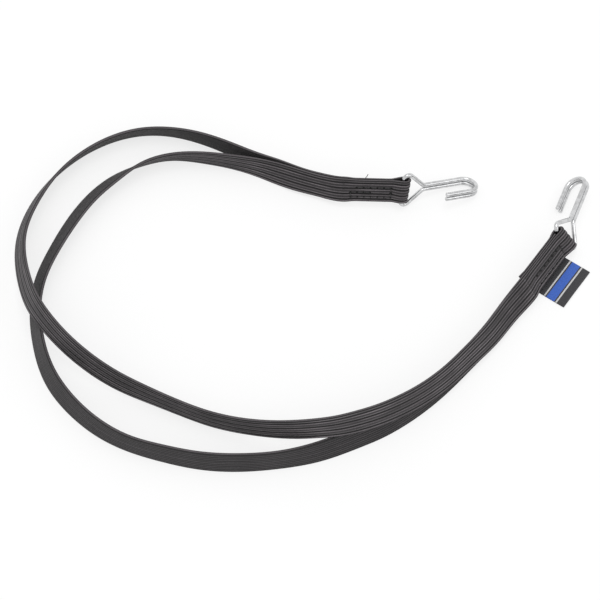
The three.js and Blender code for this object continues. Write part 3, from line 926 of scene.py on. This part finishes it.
@dataclass
class Webbing:
    """Flat elastic webbing: strong ribs on one face, fine ones on the other.

    A groove lies half a pitch from the middle, and one pitch on from there, so both edges are high.
    """

    width: float = 0.0160
    bulge: float = 0.00015
    thickness: float = 0.0018
    ribbed_pitch: float = 0.0040
    fine_pitch: float = 0.0016
    ribbed_groove: float = 0.00042
    fine_groove: float = 0.00014
    rib_power: float = 0.6
    selvedge: float = 0.0004
    face_points: int = 71
    edge_points: int = 5
    layer_step: float = 0.0021
    edge_half: float = 0.0007

    def half_thickness(self, across: Array, face: Face) -> Array:
        """Height of one face above the middle.

        Each rib is half a wave to a power: thickness / 2 - groove * (1 - |cos|^rib_power), the
        cosine running through half a turn in one pitch.

        Args:
            across: places across the webbing, nought in the middle.
            face: which face.

        Returns:
            The heights.
        """
        pitch = self.ribbed_pitch if face is Face.RIBBED else self.fine_pitch
        groove = self.ribbed_groove if face is Face.RIBBED else self.fine_groove
        wave = np.abs(np.cos(math.pi * across / pitch))
        return self.thickness / 2.0 - groove * (1.0 - wave**self.rib_power)

    def rib_centres(self) -> Array:
        """Middles of the five ribs: each lies halfway between two grooves, or a groove and an edge.

        Returns:
            Places across the webbing, nought in the middle.
        """
        half = self.width / 2.0
        grooves = np.arange(-1.5, 2.0) * self.ribbed_pitch
        edges = np.concatenate([[-half], grooves, [half]])
        return (edges[1:] + edges[:-1]) / 2.0

    def section(self) -> Array:
        """Outline of the webbing: the ribbed and the fine face, joined by rounded edges.

        An edge is a quarter ellipse from each face: selvedge * sin(t) out and height * cos(t)
        from the middle, t running from nought to a right angle.

        Returns:
            Points in order round the section.
        """
        flat = self.width / 2.0 + self.bulge - self.selvedge
        across = np.linspace(-flat, flat, self.face_points)
        turn = np.linspace(0.0, math.pi / 2.0, self.edge_points + 1)[1:]
        upper = self.half_thickness(across, Face.RIBBED)
        lower = -self.half_thickness(across, Face.FINE)
        out = flat + self.selvedge * np.sin(turn)
        right = np.column_stack([out, upper[-1] * np.cos(turn)])
        right_under = np.column_stack([out, lower[-1] * np.cos(turn)])[-2::-1]
        left_under = np.column_stack([-out, lower[0] * np.cos(turn)])
        left = np.column_stack([-out, upper[0] * np.cos(turn)])[-2::-1]
        faces = [np.column_stack([across, upper]), right, right_under]
        faces += [np.column_stack([across, lower])[::-1], left_under, left]
        return np.vstack(faces)


@dataclass
class Strands:
    """The two strands of the doubled webbing and the rubber cores inside them."""

    webbing: Webbing
    finish: bpy.types.Material
    rubber: bpy.types.Material
    left_sewn: float = 0.0350
    right_sewn: float = 0.0410
    butt: float = 0.00015
    step: float = 0.0015
    spline_points: int = 4001
    core_size: float = 0.0005
    core_turn: float = 12.0
    core_step: float = 0.004
    blend_line: tuple[float, float, float] = (0.866025, -0.5, 0.0)
    blend_from: float = 0.0195
    blend_to: float = 0.1075

    def end_centres(self, which: StrandName) -> tuple[Array, Array]:
        """Centres of one strand where it meets the two sewn ends.

        Args:
            which: the strand.

        Returns:
            The centre at the left end and at the right end.
        """
        layer = self.webbing.layer_step
        left, right = self.left_sewn + self.butt, self.right_sewn + self.butt
        depth = -layer if which is StrandName.OUTER else 0.0
        at_left = LEFT_END.to_world(np.array([left, 0.0, self.side(which) * layer / 2.0]))
        return at_left, RIGHT_END.to_world(np.array([right, 0.0, depth]))

    def side(self, which: StrandName) -> float:
        """Plus one for the outer strand and minus one for the inner."""
        return 1.0 if which is StrandName.OUTER else -1.0

    def on_table(self, stations: Array) -> Array:
        """Centres of the webbing at stations of the route.

        The height is the lift, plus half the width times sin(lean), plus half the edge times
        |cos(lean)|.

        Args:
            stations: x, y, lift and lean, one row each.

        Returns:
            One centre for each station.
        """
        lean = np.radians(stations[:, 3])
        height = self.webbing.width / 2.0 * np.sin(lean) + self.webbing.edge_half * np.abs(np.cos(lean))
        return np.column_stack([stations[:, :2], stations[:, 2] + height]) + RECENTRE

    def beside(self, stations: Array, before: Array, after: Array, outward: float, raised: Array) -> Array:
        """Centres of a strand that lies face to face with a line of stations.

        Args:
            stations: x, y, lift and lean, one row each.
            before: the centre before the first station.
            after: the centre after the last one.
            outward: how far the strand lies from the line, along the webbing's outward direction.
            raised: how far it is raised along the webbing's width at each station.

        Returns:
            One centre for each station.
        """
        line = np.vstack([before, self.on_table(stations), after])
        across, away = webbing_axes(unit(line[2:] - line[:-2]), stations[:, 3])
        return line[1:-1] + away * outward + across * raised[:, None]

    def rings(self, which: StrandName) -> tuple[Array, Array, Array]:
        """Centres and directions along one strand, on a cubic spline through its stations.

        The lean runs on the same spline as the centres.

        Args:
            which: the strand.

        Returns:
            Centres, directions across and directions outward, one row for each ring.
        """
        outer = which is StrandName.OUTER
        route = OUTER_ROUTE if outer else INNER_ROUTE
        at_left, at_right = self.end_centres(which)
        own = self.on_table(route)
        layer = self.webbing.layer_step
        level = np.zeros(len(BESIDE_LEFT_HOOK))
        left = self.beside(BESIDE_LEFT_HOOK, at_left, own[0], self.side(which) * layer / 2.0, level)
        right = self.beside(
            BESIDE_RIGHT_HOOK, self.on_table(INNER_ROUTE[-1:])[0],
            self.end_centres(StrandName.INNER)[1], layer * outer, BESIDE_RIGHT_HOOK[:, 4] * outer,
        )
        centres = np.vstack([at_left, left, own, right, at_right])
        stations = np.vstack([BESIDE_LEFT_HOOK, route, BESIDE_RIGHT_HOOK[:, :4]])
        leans = np.concatenate([[LEFT_END.lean], stations[:, 3], [RIGHT_END.lean]])
        knots = lengths_along(centres)
        first, last = np.append(LEFT_END.run(), 0.0), np.append(RIGHT_END.run(), 0.0)
        spline = Spline(knots, np.column_stack([centres, leans]), first, last)
        fine = spline.at(np.linspace(0.0, knots[-1], self.spline_points))
        travelled = lengths_along(fine[:, :3])
        places = np.linspace(0.0, travelled[-1], round(travelled[-1] / self.step) + 1)
        rows = np.column_stack([np.interp(places, travelled, fine[:, i]) for i in range(4)])
        run = directions_along(rows[:, :3])
        run[0], run[-1] = LEFT_END.run(), RIGHT_END.run()
        across, outward = webbing_axes(run, rows[:, 3])
        return rows[:, :3], across, outward

    def follow(self, piece: bpy.types.Object) -> None:
        """Bake the piece's placement into its mesh.

        Args:
            piece: the strand or its cores.
        """
        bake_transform(piece)

    def strand(self, which: StrandName) -> None:
        """The ribbed face looks outward on the outer strand and inward on the inner one.

        Args:
            which: the strand.
        """
        centres, across, outward = self.rings(which)
        ribbed = outward if which is StrandName.OUTER else -outward
        sweep = Sweep(centres, across, ribbed, self.webbing.section())
        piece = build_piece(f"{which.value}_webbing", sweep.grid(), sweep.unbent(), self.finish)
        self.follow(piece)
        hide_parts(f"{which.value}_strand")

    def cores(self, which: StrandName) -> None:
        """Build the five rubber cores of one strand as one piece.

        Args:
            which: the strand.
        """
        centres, across, outward = self.rings(which)
        skip = max(1, round(self.core_step / self.step))
        keep = np.unique(np.append(np.arange(0, len(centres), skip), len(centres) - 1))
        half = self.core_size / 2.0
        angle = math.radians(self.core_turn)
        turn = np.array([[math.cos(angle), math.sin(angle)], [-math.sin(angle), math.cos(angle)]])
        square = np.array([[-half, -half], [half, -half], [half, half], [-half, half]]) @ turn
        parts = []
        for rib, sideways in enumerate(self.webbing.rib_centres(), start=1):
            sweep = Sweep(centres[keep] + across[keep] * sideways, across[keep], outward[keep], square)
            parts.append(build_piece(f"core_{rib}", sweep.grid(), sweep.unbent(), self.rubber))
        piece = join_pieces(f"{which.value}_cores", parts)
        self.follow(piece)
        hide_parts(*[f"{which.value}_core_{rib}" for rib in range(1, len(parts) + 1)])


# Sewn ends


@dataclass
class Stitching:
    """Rows of stitches through a sewn end, and the hollow that the tight thread pulls in it.

    Places are in the sewn end's own frame: back from the bar, and across to the upper edge.
    """

    finish: bpy.types.Material
    rows: list[tuple[float, float, float]]
    sewn: float
    narrow: float = 0.07
    flatten: float = 0.1
    pitch: float = 0.0039
    radius: float = 0.00022
    squeeze: float = 0.42
    along_row: float = 0.32
    spread: float = 0.0009
    shift: float = 0.0
    nose_narrow: float = 0.0
    dash_rise: float = 0.16
    thread_step: float = 0.0002
    thread_sides: int = 8
    thread_rest: float = 0.7
    thread_dip: float = 1.2
    dash_points: int = 20
    drawn_from: float = 0.0010
    drawn_to: float = 0.0090
    let_go: float = 0.0070
    edge_from: float = 0.0085
    edge_to: float = 0.0098
    nose_full: float = 0.0010
    nose_end: float = 0.0090
    nose_top: float = 0.0010
    nose_low: float = 0.0080

    def holes(self) -> Array:
        """Needle holes in sewing order: each row from its first x to its last, at its own y.

        Returns:
            One row for each hole.
        """
        found = []
        for first, last, across in self.rows:
            count = round(abs(last - first) / self.pitch) + 1
            places = np.linspace(first, last, count)
            found.append(np.column_stack([places, np.full(count, across)]))
        return np.vstack(found)

    def pull(self, places: Array) -> Array:
        """How hard the thread pulls the layers together at each place, from nought to one.

        At a hole it is exp(-(d / spread)^2), d being the distance to the hole, and along the
        thread it is a weaker copy of the same, d being the distance to the stitch.

        Args:
            places: x and y in the sewn end's frame, the coordinates last.

        Returns:
            The pull at each place.
        """
        holes = self.holes()
        flat = places.reshape(-1, 2)
        strongest = np.zeros(len(flat))
        for start, end in zip(holes[:-1], holes[1:]):
            reach = end - start
            share = np.clip(((flat - start) @ reach) / (reach @ reach), 0.0, 1.0)
            to_line = np.linalg.norm(flat - start - share[:, None] * reach, axis=1)
            to_hole = np.minimum(
                np.linalg.norm(flat - start, axis=1), np.linalg.norm(flat - end, axis=1)
            )
            line = self.along_row * np.exp(-((to_line / self.spread) ** 2))
            hole = np.exp(-((to_hole / self.spread) ** 2))
            strongest = np.maximum(strongest, np.maximum(line, hole))
        return strongest.reshape(places.shape[:-1])

    def tightened(self, points: Array) -> Array:
        """Points of a layer as the whole seam draws it in.

        With the share s, y' = y (1 - narrow s) + shift s and z' = z (1 - flatten s). The share
        rises from nought at the bar to one over the rows, falls to nought again at the end of the
        sewn part, and is nought beyond the edges of the webbing. The nose is narrowed by a share of
        its own, which rises towards the bar and towards the lower edge.

        Args:
            points: points in the sewn end's frame.

        Returns:
            The same points, a little nearer the middle.
        """
        x, side = points[..., 0], np.abs(points[..., 1])
        share = smoothstep(self.drawn_from, self.drawn_to, x)
        share *= 1.0 - smoothstep(self.sewn - self.let_go, self.sewn, x)
        share *= 1.0 - smoothstep(self.edge_from, self.edge_to, side)
        moved = points.copy()
        moved[..., 1] *= 1.0 - self.narrow * share
        moved[..., 1] += self.shift * share
        moved[..., 2] *= 1.0 - self.flatten * share
        at_nose = smoothstep(-self.nose_end, -self.nose_full, -x)
        below = smoothstep(-self.nose_top, self.nose_low, -points[..., 1])
        moved[..., 1] *= 1.0 - self.nose_narrow * at_nose * below
        return moved

    def pulled(self, points: Array) -> Array:
        """Points of a layer, drawn towards the middle of the layers: z' = z (1 - squeeze pull).

        Args:
            points: points in the sewn end's frame.

        Returns:
            The same points with their depths reduced, and then tightened.
        """
        moved = points.copy()
        moved[..., 2] *= 1.0 - self.squeeze * self.pull(points[..., :2])
        return self.tightened(moved)

    def thread(
        self, name: str, surface: float, side: int, end: EndPose, loose: Array | None = None
    ) -> bpy.types.Object:
        """Build one thread, which lies on one face and dips into each hole.

        Between two holes it rests on the pulled surface, thread_rest radii above it. Over the
        share dash_rise of the way at each hole it falls, on a soft step, to thread_dip radii from
        the middle of the layers.

        Args:
            name: the piece's name.
            surface: depth of the face that the thread lies on, from the middle.
            side: -1 for the face that looks up, +1 for the underside.
            end: where the sewn end lies.
            loose: points of a loose end before the first hole, or None.

        Returns:
            The thread's object.
        """
        holes = self.holes()
        low = self.radius * self.thread_dip
        share = np.linspace(0.0, 1.0, self.dash_points, endpoint=False)[:, None]
        stretches = []
        for start, stop in zip(holes[:-1], holes[1:]):
            flat = start + (stop - start) * share
            top = surface * (1.0 - self.squeeze * self.pull(flat)) + self.radius * self.thread_rest
            nearest = np.minimum(share[:, 0], 1.0 - share[:, 0])
            dip = smoothstep(0.0, self.dash_rise, nearest)
            depth = low + (top - low) * dip
            stretches.append(np.column_stack([flat, side * depth]))
        last = np.append(holes[-1], side * low)[None]
        line = np.vstack(([loose] if loose is not None else []) + stretches + [last])
        line = self.tightened(evenly(line, self.thread_step))
        run = directions_along(line)
        across = unit(np.cross(unit(OFF_AXIS), run))
        circle = circle_of(self.radius, self.thread_sides)
        sweep = Sweep(end.to_world(line), across @ end.frame(), np.cross(run, across) @ end.frame(), circle)
        piece = build_piece(name, sweep.grid(), sweep.unbent(), self.finish)
        return piece


@dataclass
class Fold:
    """Webbing folded round the bar of a hook, with both legs drawn together by the stitches."""

    webbing: Webbing
    finish: bpy.types.Material
    end: EndPose
    stitching: Stitching
    spacing: float
    upper_length: float
    under_length: float
    outside: Face
    taper: float = 0.0062
    start: float = 0.0010
    radius: float = 0.00255
    slack: float = 0.0009
    step: float = 0.0005
    skew_reach: float = 1.6
    arc_step: float = 5.0

    def line(self) -> Array:
        """Middle of the webbing: a leg above, a round nose past the bar, and a leg below.

        Returns:
            Points in the sewn end's frame, from the end of the upper leg.
        """
        nose = self.radius + self.slack
        corners = np.array([
            [self.upper_length, 0.0, -self.spacing], [self.taper, 0.0, -self.spacing],
            [self.start, 0.0, -self.radius], [-nose, 0.0, -self.radius],
            [-nose, 0.0, self.radius], [self.start, 0.0, self.radius],
            [self.taper, 0.0, self.spacing], [self.under_length, 0.0, self.spacing],
        ])
        radii = np.full(len(corners), self.radius)
        return evenly(rounded_line(corners, radii, self.arc_step), self.step)

    def build(self, name: str) -> bpy.types.Object:
        """Build the folded webbing.

        The fold follows the turned bar: x' = x - y tan(skew), fading out behind the bar on a
        soft step.

        Args:
            name: the piece's name.

        Returns:
            The fold's object.
        """
        line = self.line()
        run = directions_along(line)
        across = everywhere(ALONG_Y, run)
        ribbed = np.cross(run, across) * self.outside.value
        sweep = Sweep(line, across, ribbed, self.webbing.section())
        grid = sweep.grid()
        # The stitches' pull, kept on the mesh for the finish to paint shade at the holes.
        pull = self.stitching.pull(grid[..., :2])
        grid = self.stitching.pulled(grid)
        share = 1.0 - smoothstep(0.0, self.skew_reach * self.taper, grid[..., 0])
        grid[..., 0] -= grid[..., 1] * math.tan(math.radians(self.end.skew)) * share
        piece = build_piece(name, self.end.to_world(grid), sweep.unbent(), self.finish, pull)
        return piece


@dataclass
class Label:
    """A folded cloth label: sewn under the webbing, bent at its lower edge, flat on the table."""

    finish: bpy.types.Material
    end: EndPose
    stitching: Stitching
    length: float = 0.0295
    start: float = 0.0045
    reach: float = 0.0222
    tuck: float = 0.0038
    cloth: float = 0.00042
    leaf_gap: float = 0.00065
    thickness: float = 0.0010
    bend_radius: float = 0.0015
    depth: float = 0.0038
    step: float = 0.0004
    web_half: float = 0.0080
    curl: float = 0.0005
    cloth_points: int = 60
    end_points: int = 7
    arc_step: float = 12.0
    wave_mm: float = 4.6
    wave_start: float = 0.9

    def line(self) -> Array:
        """Both leaves of the folded cloth in the plane across the strap, from tuck to tuck.

        Returns:
            Points in the sewn end's frame, all at x nought.
        """
        lean = math.radians(self.end.lean)
        bar_height = self.end.bar[2]
        half_gap = self.leaf_gap / 2.0

        def outer(offset: float) -> list[float]:
            """The free edge of a leaf, flat on the table.

            Args:
                offset: how far the leaf's middle lies above the middle of both leaves.

            Returns:
                A point in the sewn end's frame.
            """
            height = self.thickness / 2.0 + offset - bar_height
            return [
                0.0, -math.cos(lean) * self.reach + math.sin(lean) * height,
                -math.sin(lean) * self.reach - math.cos(lean) * height,
            ]

        def bend(offset: float) -> list[float]:
            """The corner where a leaf leaves the webbing for the table.

            Args:
                offset: how far the leaf's middle lies above the middle of both leaves.

            Returns:
                A point in the sewn end's frame.
            """
            depth = self.depth - offset
            height = self.thickness / 2.0 + offset - bar_height
            return [0.0, (height + depth * math.cos(lean)) / math.sin(lean), depth]

        def tucked(offset: float) -> list[float]:
            """The cut edge of a leaf, under the webbing."""
            return [0.0, self.tuck - self.web_half, self.depth - offset]

        corners = np.array([
            tucked(half_gap), bend(half_gap), outer(half_gap),
            outer(-half_gap), bend(-half_gap), tucked(-half_gap),
        ])
        inside, outside = self.bend_radius - half_gap, self.bend_radius + half_gap
        radii = np.array([0.0, inside, half_gap, half_gap, outside, 0.0])
        return evenly(rounded_line(corners, radii, self.arc_step), self.step)

    def section(self) -> Array:
        """Outline of one thickness of cloth across the label: long, thin, with rounded ends.

        Each end is a half circle as wide as the cloth is thick.

        Returns:
            Points in order round the section.
        """
        flat = self.length / 2.0 - self.cloth / 2.0
        across = np.linspace(-flat, flat, self.cloth_points)
        turn = np.linspace(-math.pi / 2.0, math.pi / 2.0, self.end_points)[1:-1]
        half = self.cloth / 2.0
        right = np.column_stack([flat + half * np.cos(turn), half * np.sin(turn)])
        upper = np.column_stack([across[::-1], np.full_like(across, half)])
        lower = np.column_stack([across, np.full_like(across, -half)])
        return np.vstack([lower, right, upper, -right])

    def build(self, name: str) -> bpy.types.Object:
        """Build the label, with its free corner curled up a little.

        The lift is curl times the square of the distance past the bend, as a share of the
        reach, times a slow wave along the label.

        Args:
            name: the piece's name.

        Returns:
            The label's object.
        """
        line = self.line()
        middle = lengths_along(line)[-1] / 2.0
        run = directions_along(line)
        centres = line + np.array([self.start + self.length / 2.0, 0.0, 0.0])
        across = everywhere(ALONG_X, run)
        sweep = Sweep(centres, across, np.cross(run, across), self.section())
        grid = sweep.grid()
        unbent = sweep.unbent(-middle)
        past = np.clip(1.0 - np.abs(unbent[..., 2]) * MM / self.reach, 0.0, 1.0)
        wave = 0.5 + 0.5 * np.sin(unbent[..., 0] / self.wave_mm + self.wave_start)
        world = self.end.to_world(self.stitching.pulled(grid))
        world[..., 2] += self.curl * past**2 * wave
        piece = build_piece(name, world, unbent, self.finish)
        return piece


@dataclass
class LeftSewnEnd:
    """The doubled webbing round the left hook: one fold, three rows of stitches, two threads."""

    webbing: Webbing
    finish: bpy.types.Material
    thread: bpy.types.Material
    length: float = 0.0350
    butt: float = 0.00015
    pitch: float = 0.0039
    cross_row: float = 0.00686
    front_share: float = 0.16
    middle_share: float = -0.06
    lower_share: float = -0.28
    loose_length: float = 0.0017
    loose_slant: float = 0.0065
    loose_lift: float = 0.0003

    def stitching(self) -> Stitching:
        """Rows in sewing order: front row to the bar, across, lower row back, middle row.

        Returns:
            The stitches of this end.
        """
        width = self.webbing.width
        shares = (self.front_share, self.middle_share, self.lower_share)
        front, middle, lower = (share * width for share in shares)
        far = self.length - self.pitch
        rows = [
            (far - self.pitch, self.cross_row, front),
            (self.cross_row, self.cross_row, (front + lower) / 2.0),
            (self.cross_row, far, lower),
            (far, far - 3.0 * self.pitch, middle),
        ]
        return Stitching(self.thread, rows, self.length, nose_narrow=0.1)

    def build(self) -> None:
        """Build the fold and both threads, riding on the strap."""
        stitching = self.stitching()
        spacing = self.webbing.layer_step / 2.0
        legs = self.length + self.butt
        fold = Fold(
            self.webbing, self.finish, LEFT_END, stitching, spacing, legs, legs, Face.RIBBED
        ).build("left_folded_webbing")
        surface = spacing + self.webbing.thickness / 2.0
        first = stitching.holes()[0]
        rise = self.webbing.width / 2.0 + self.loose_length
        loose = np.array([[first[0] - self.loose_slant, rise, surface + self.loose_lift]])
        upper = stitching.thread("left_upper_thread", surface, -1, LEFT_END)
        under = stitching.thread("left_under_thread", surface, 1, LEFT_END, loose)
        nodes = ("left_fold", "left_needle_thread", "left_bobbin_thread")
        for piece, node in zip((fold, upper, under), nodes):
            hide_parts(node)
            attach(piece, Bodies.STRAP.value)


@dataclass
class RightSewnEnd:
    """The right end: one strand folded round the bar, sewn back under the other, and the label."""

    webbing: Webbing
    finish: bpy.types.Material
    thread: bpy.types.Material
    cloth: bpy.types.Material
    length: float = 0.0410
    flap: float = 0.0400
    butt: float = 0.00015
    cross_row: float = 0.00686
    last_hole: float = 0.03205
    upper_share: float = 0.06
    lower_share: float = -0.38
    tail_start: float = 0.00375
    tail_step: float = 0.0005
    under_label: float = 0.0013

    def stitching(self) -> Stitching:
        """Rows in sewing order: upper row to the bar, across, and lower row back.

        Returns:
            The stitches of this end.
        """
        upper, lower = self.upper_share * self.webbing.width, self.lower_share * self.webbing.width
        rows = [
            (self.last_hole, self.cross_row, upper),
            (self.cross_row, self.cross_row, (upper + lower) / 2.0),
            (self.cross_row, self.last_hole, lower),
        ]
        return Stitching(self.thread, rows, self.length, flatten=0.2, squeeze=0.35, shift=0.0003)

    def tail(self, stitching: Stitching) -> bpy.types.Object:
        """Build the inner strand's end, which lies between the two legs of the fold.

        Args:
            stitching: the stitches that hold it.

        Returns:
            The tail's object.
        """
        ends = np.outer([self.tail_start, self.length + self.butt], ALONG_X)
        line = evenly(ends, self.tail_step)
        across, ribbed = everywhere(ALONG_Y, line), everywhere(UP, line)
        sweep = Sweep(line, across, ribbed, self.webbing.section())
        grid = stitching.pulled(sweep.grid())
        piece = build_piece("right_inner_tail", RIGHT_END.to_world(grid), sweep.unbent(), self.finish)
        return piece

    def build(self) -> None:
        """Build the fold, the tail, the label and both threads, riding on the right end."""
        stitching = self.stitching()
        spacing = self.webbing.layer_step
        fold = Fold(
            self.webbing, self.finish, RIGHT_END, stitching, spacing, self.length + self.butt,
            self.flap, Face.RIBBED,
        ).build("right_folded_webbing")
        surface = spacing + self.webbing.thickness / 2.0
        label = Label(self.cloth, RIGHT_END, stitching).build("sewn_label")
        tail = self.tail(stitching)
        upper = stitching.thread("right_upper_thread", surface, -1, RIGHT_END)
        under = stitching.thread("right_under_thread", surface + self.under_label, 1, RIGHT_END)
        pieces = [
            (fold, "right_fold"), (tail, "right_tail"), (label, "label"),
            (upper, "right_needle_thread"), (under, "right_bobbin_thread"),
        ]
        for piece, node in pieces:
            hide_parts(node)
            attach(piece, Bodies.RIGHT_END.value)


# Hooks


@dataclass
class WireHook:
    """One wire bent into a triangle round the webbing and a doubled hook beyond it."""

    finish: bpy.types.Material
    end: EndPose
    wire: float = 0.0027
    spacing: float = 0.0029
    length: float = 0.0460
    mouth: float = 0.0131
    return_length: float = 0.0162
    triangle_width: float = 0.0212
    triangle_height: float = 0.0141
    corner_radius: float = 0.0029
    neck_radius: float = 0.0030
    sides: int = 32
    step: float = 0.0005
    chamfer: float = 0.00018
    arc_step: float = 3.0

    def line(self) -> Array:
        """Middle of the wire: from one tip round the bend, the neck, the bar, and back.

        Returns:
            Points in the hook's own frame: along the bar, out to the bend, to the return.
        """
        half_bar = self.triangle_width / 2.0 - self.corner_radius
        neck = self.spacing / 2.0
        to_neck = np.array([neck - half_bar, self.triangle_height - self.corner_radius])
        distance = float(np.linalg.norm(to_neck))
        touch = math.atan2(to_neck[1], to_neck[0]) - math.acos(self.corner_radius / distance)
        corner = half_bar + self.corner_radius * math.tan((touch + math.pi / 2.0) / 2.0)
        tip = self.length - self.mouth / 2.0 - self.return_length
        half = np.array([
            [neck, tip, self.mouth], [neck, self.length, self.mouth], [neck, self.length, 0.0],
            [neck, self.triangle_height, 0.0], [corner, 0.0, 0.0],
        ])
        bend = self.mouth / 2.0
        radii = np.array([0.0, bend, bend, self.neck_radius, self.corner_radius])
        mirrored = half[::-1] * np.array([-1.0, 1.0, 1.0])
        corners, bends = np.vstack([half, mirrored]), np.append(radii, radii[::-1])
        return evenly(rounded_line(corners, bends, self.arc_step), self.step)

    def build(self, name: str, node: str, body: Bodies) -> None:
        """Build the hook, with the edge of each cut end broken.

        Args:
            name: the piece's name.
            node: the CAD node that it stands for.
            body: the body that it rides on.
        """
        line = self.line()
        run = directions_along(line)
        broken = np.vstack([line[:1] + run[:1] * self.chamfer, line[-1:] - run[-1:] * self.chamfer])
        line = np.vstack([line[:1], broken[:1], line[1:-1], broken[1:], line[-1:]])
        scale = np.ones(len(line))
        scale[[0, -1]] = 1.0 - self.chamfer / (self.wire / 2.0)
        run = np.vstack([run[:1], run, run[-1:]])
        across = unit(np.cross(unit(ALONG_X + UP), run))
        circle = circle_of(self.wire / 2.0, self.sides)
        own = self.end.hook_frame()
        sweep = Sweep(
            self.end.to_world(line @ own), across @ own @ self.end.frame(),
            np.cross(run, across) @ own @ self.end.frame(), circle, scale,
        )
        piece = build_piece(name, sweep.grid(), sweep.unbent(), self.finish)
        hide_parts(node)
        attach(piece, body.value)


# Studio


@dataclass
class Studio:
    """The camera, the pale floor, two large soft lamps and a white surrounding."""

    distance: float = 1.0
    elevation: float = 60.0
    field_of_view: float = 20.0
    floor_size: float = 8.0
    surround: float = 0.93

    def camera(self) -> None:
        """Set the camera at the photograph's angle, looking at the origin of the route's numbers."""
        lens = bpy.data.cameras.new("camera")
        lens.sensor_fit = "AUTO"
        lens.angle = math.radians(self.field_of_view)
        camera = bpy.data.objects.new("camera", lens)
        up = math.radians(self.elevation)
        away = np.array([0.0, -math.cos(up), math.sin(up)]) * self.distance
        camera.location = RECENTRE + away
        camera.rotation_euler = Euler((math.pi / 2.0 - up, 0.0, 0.0))
        bpy.context.scene.collection.objects.link(camera)
        bpy.context.scene.camera = camera

    def floor(self) -> None:
        """Lay the floor at height nought."""
        half = self.floor_size / 2.0
        mesh = bpy.data.meshes.new("floor")
        corners = [(-half, -half, 0.0), (half, -half, 0.0), (half, half, 0.0), (-half, half, 0.0)]
        mesh.from_pydata(corners, [], [(0, 1, 2, 3)])
        mesh.materials.append(FloorFinish().material())
        floor = bpy.data.objects.new("floor", mesh)
        bpy.context.scene.collection.objects.link(floor)

    def lamp(self, name: str, place: tuple[float, float, float], size: float, watts: float) -> None:
        """Hang a square soft lamp that looks at the origin.

        It is tilted by the angle of its place from straight up, and turned to face the origin.

        Args:
            name: the lamp's name.
            place: where it hangs.
            size: its side.
            watts: its power.
        """
        light = bpy.data.lights.new(name, "AREA")
        light.size = size
        light.energy = watts
        lamp = bpy.data.objects.new(name, light)
        x, y, z = place
        lamp.location = place
        level = math.hypot(x, y)
        lamp.rotation_euler = Euler((math.atan2(level, z), 0.0, math.atan2(x, -y)))
        bpy.context.scene.collection.objects.link(lamp)

    def world(self) -> None:
        """White surroundings for the camera, gloss and glass, and a dimmer even light."""
        world = bpy.data.worlds.new("surroundings")
        bench = WorldBench(world)
        inputs = {"Value": bench.white_rays(), "To Min": self.surround}
        strength = bench.add("ShaderNodeMapRange", inputs).outputs[0]
        colour = {"Color": grey(1.0), "Strength": strength}
        bench.surface(bench.add("ShaderNodeBackground", colour))
        bpy.context.scene.world = world

    def build(self) -> None:
        """Set up everything that isn't part of the strap."""
        bpy.context.scene.view_settings.view_transform = "Standard"
        self.camera()
        self.floor()
        self.world()
        self.lamp("overhead_lamp", place=(0.1, 0.05, 1.5), size=0.8, watts=4.5)
        self.lamp("side_lamp", place=(1.1, -0.5, 0.9), size=0.5, watts=1.2)


def main() -> None:
    """Load the frame, dress every piece, and set up the studio."""
    logging.basicConfig(level=logging.INFO, format="%(name)s: %(message)s")
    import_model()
    Studio().build()
    webbing = Webbing()
    sewn_webbing = Webbing(ribbed_groove=0.0006)
    cloth = WebbingFinish().material()
    thread = ThreadFinish().material()
    strands = Strands(webbing, cloth, RubberFinish().material())
    for which in StrandName:
        strands.strand(which)
        strands.cores(which)
    LeftSewnEnd(sewn_webbing, cloth, thread).build()
    RightSewnEnd(sewn_webbing, cloth, thread, LabelFinish().material()).build()
    wire = WireFinish().material()
    WireHook(wire, LEFT_END).build("left_wire_hook", "left_hook", Bodies.LEFT_HOOK)
    WireHook(wire, RIGHT_END).build("right_wire_hook", "right_hook", Bodies.RIGHT_HOOK)


if __name__ == "__main__":
    main()
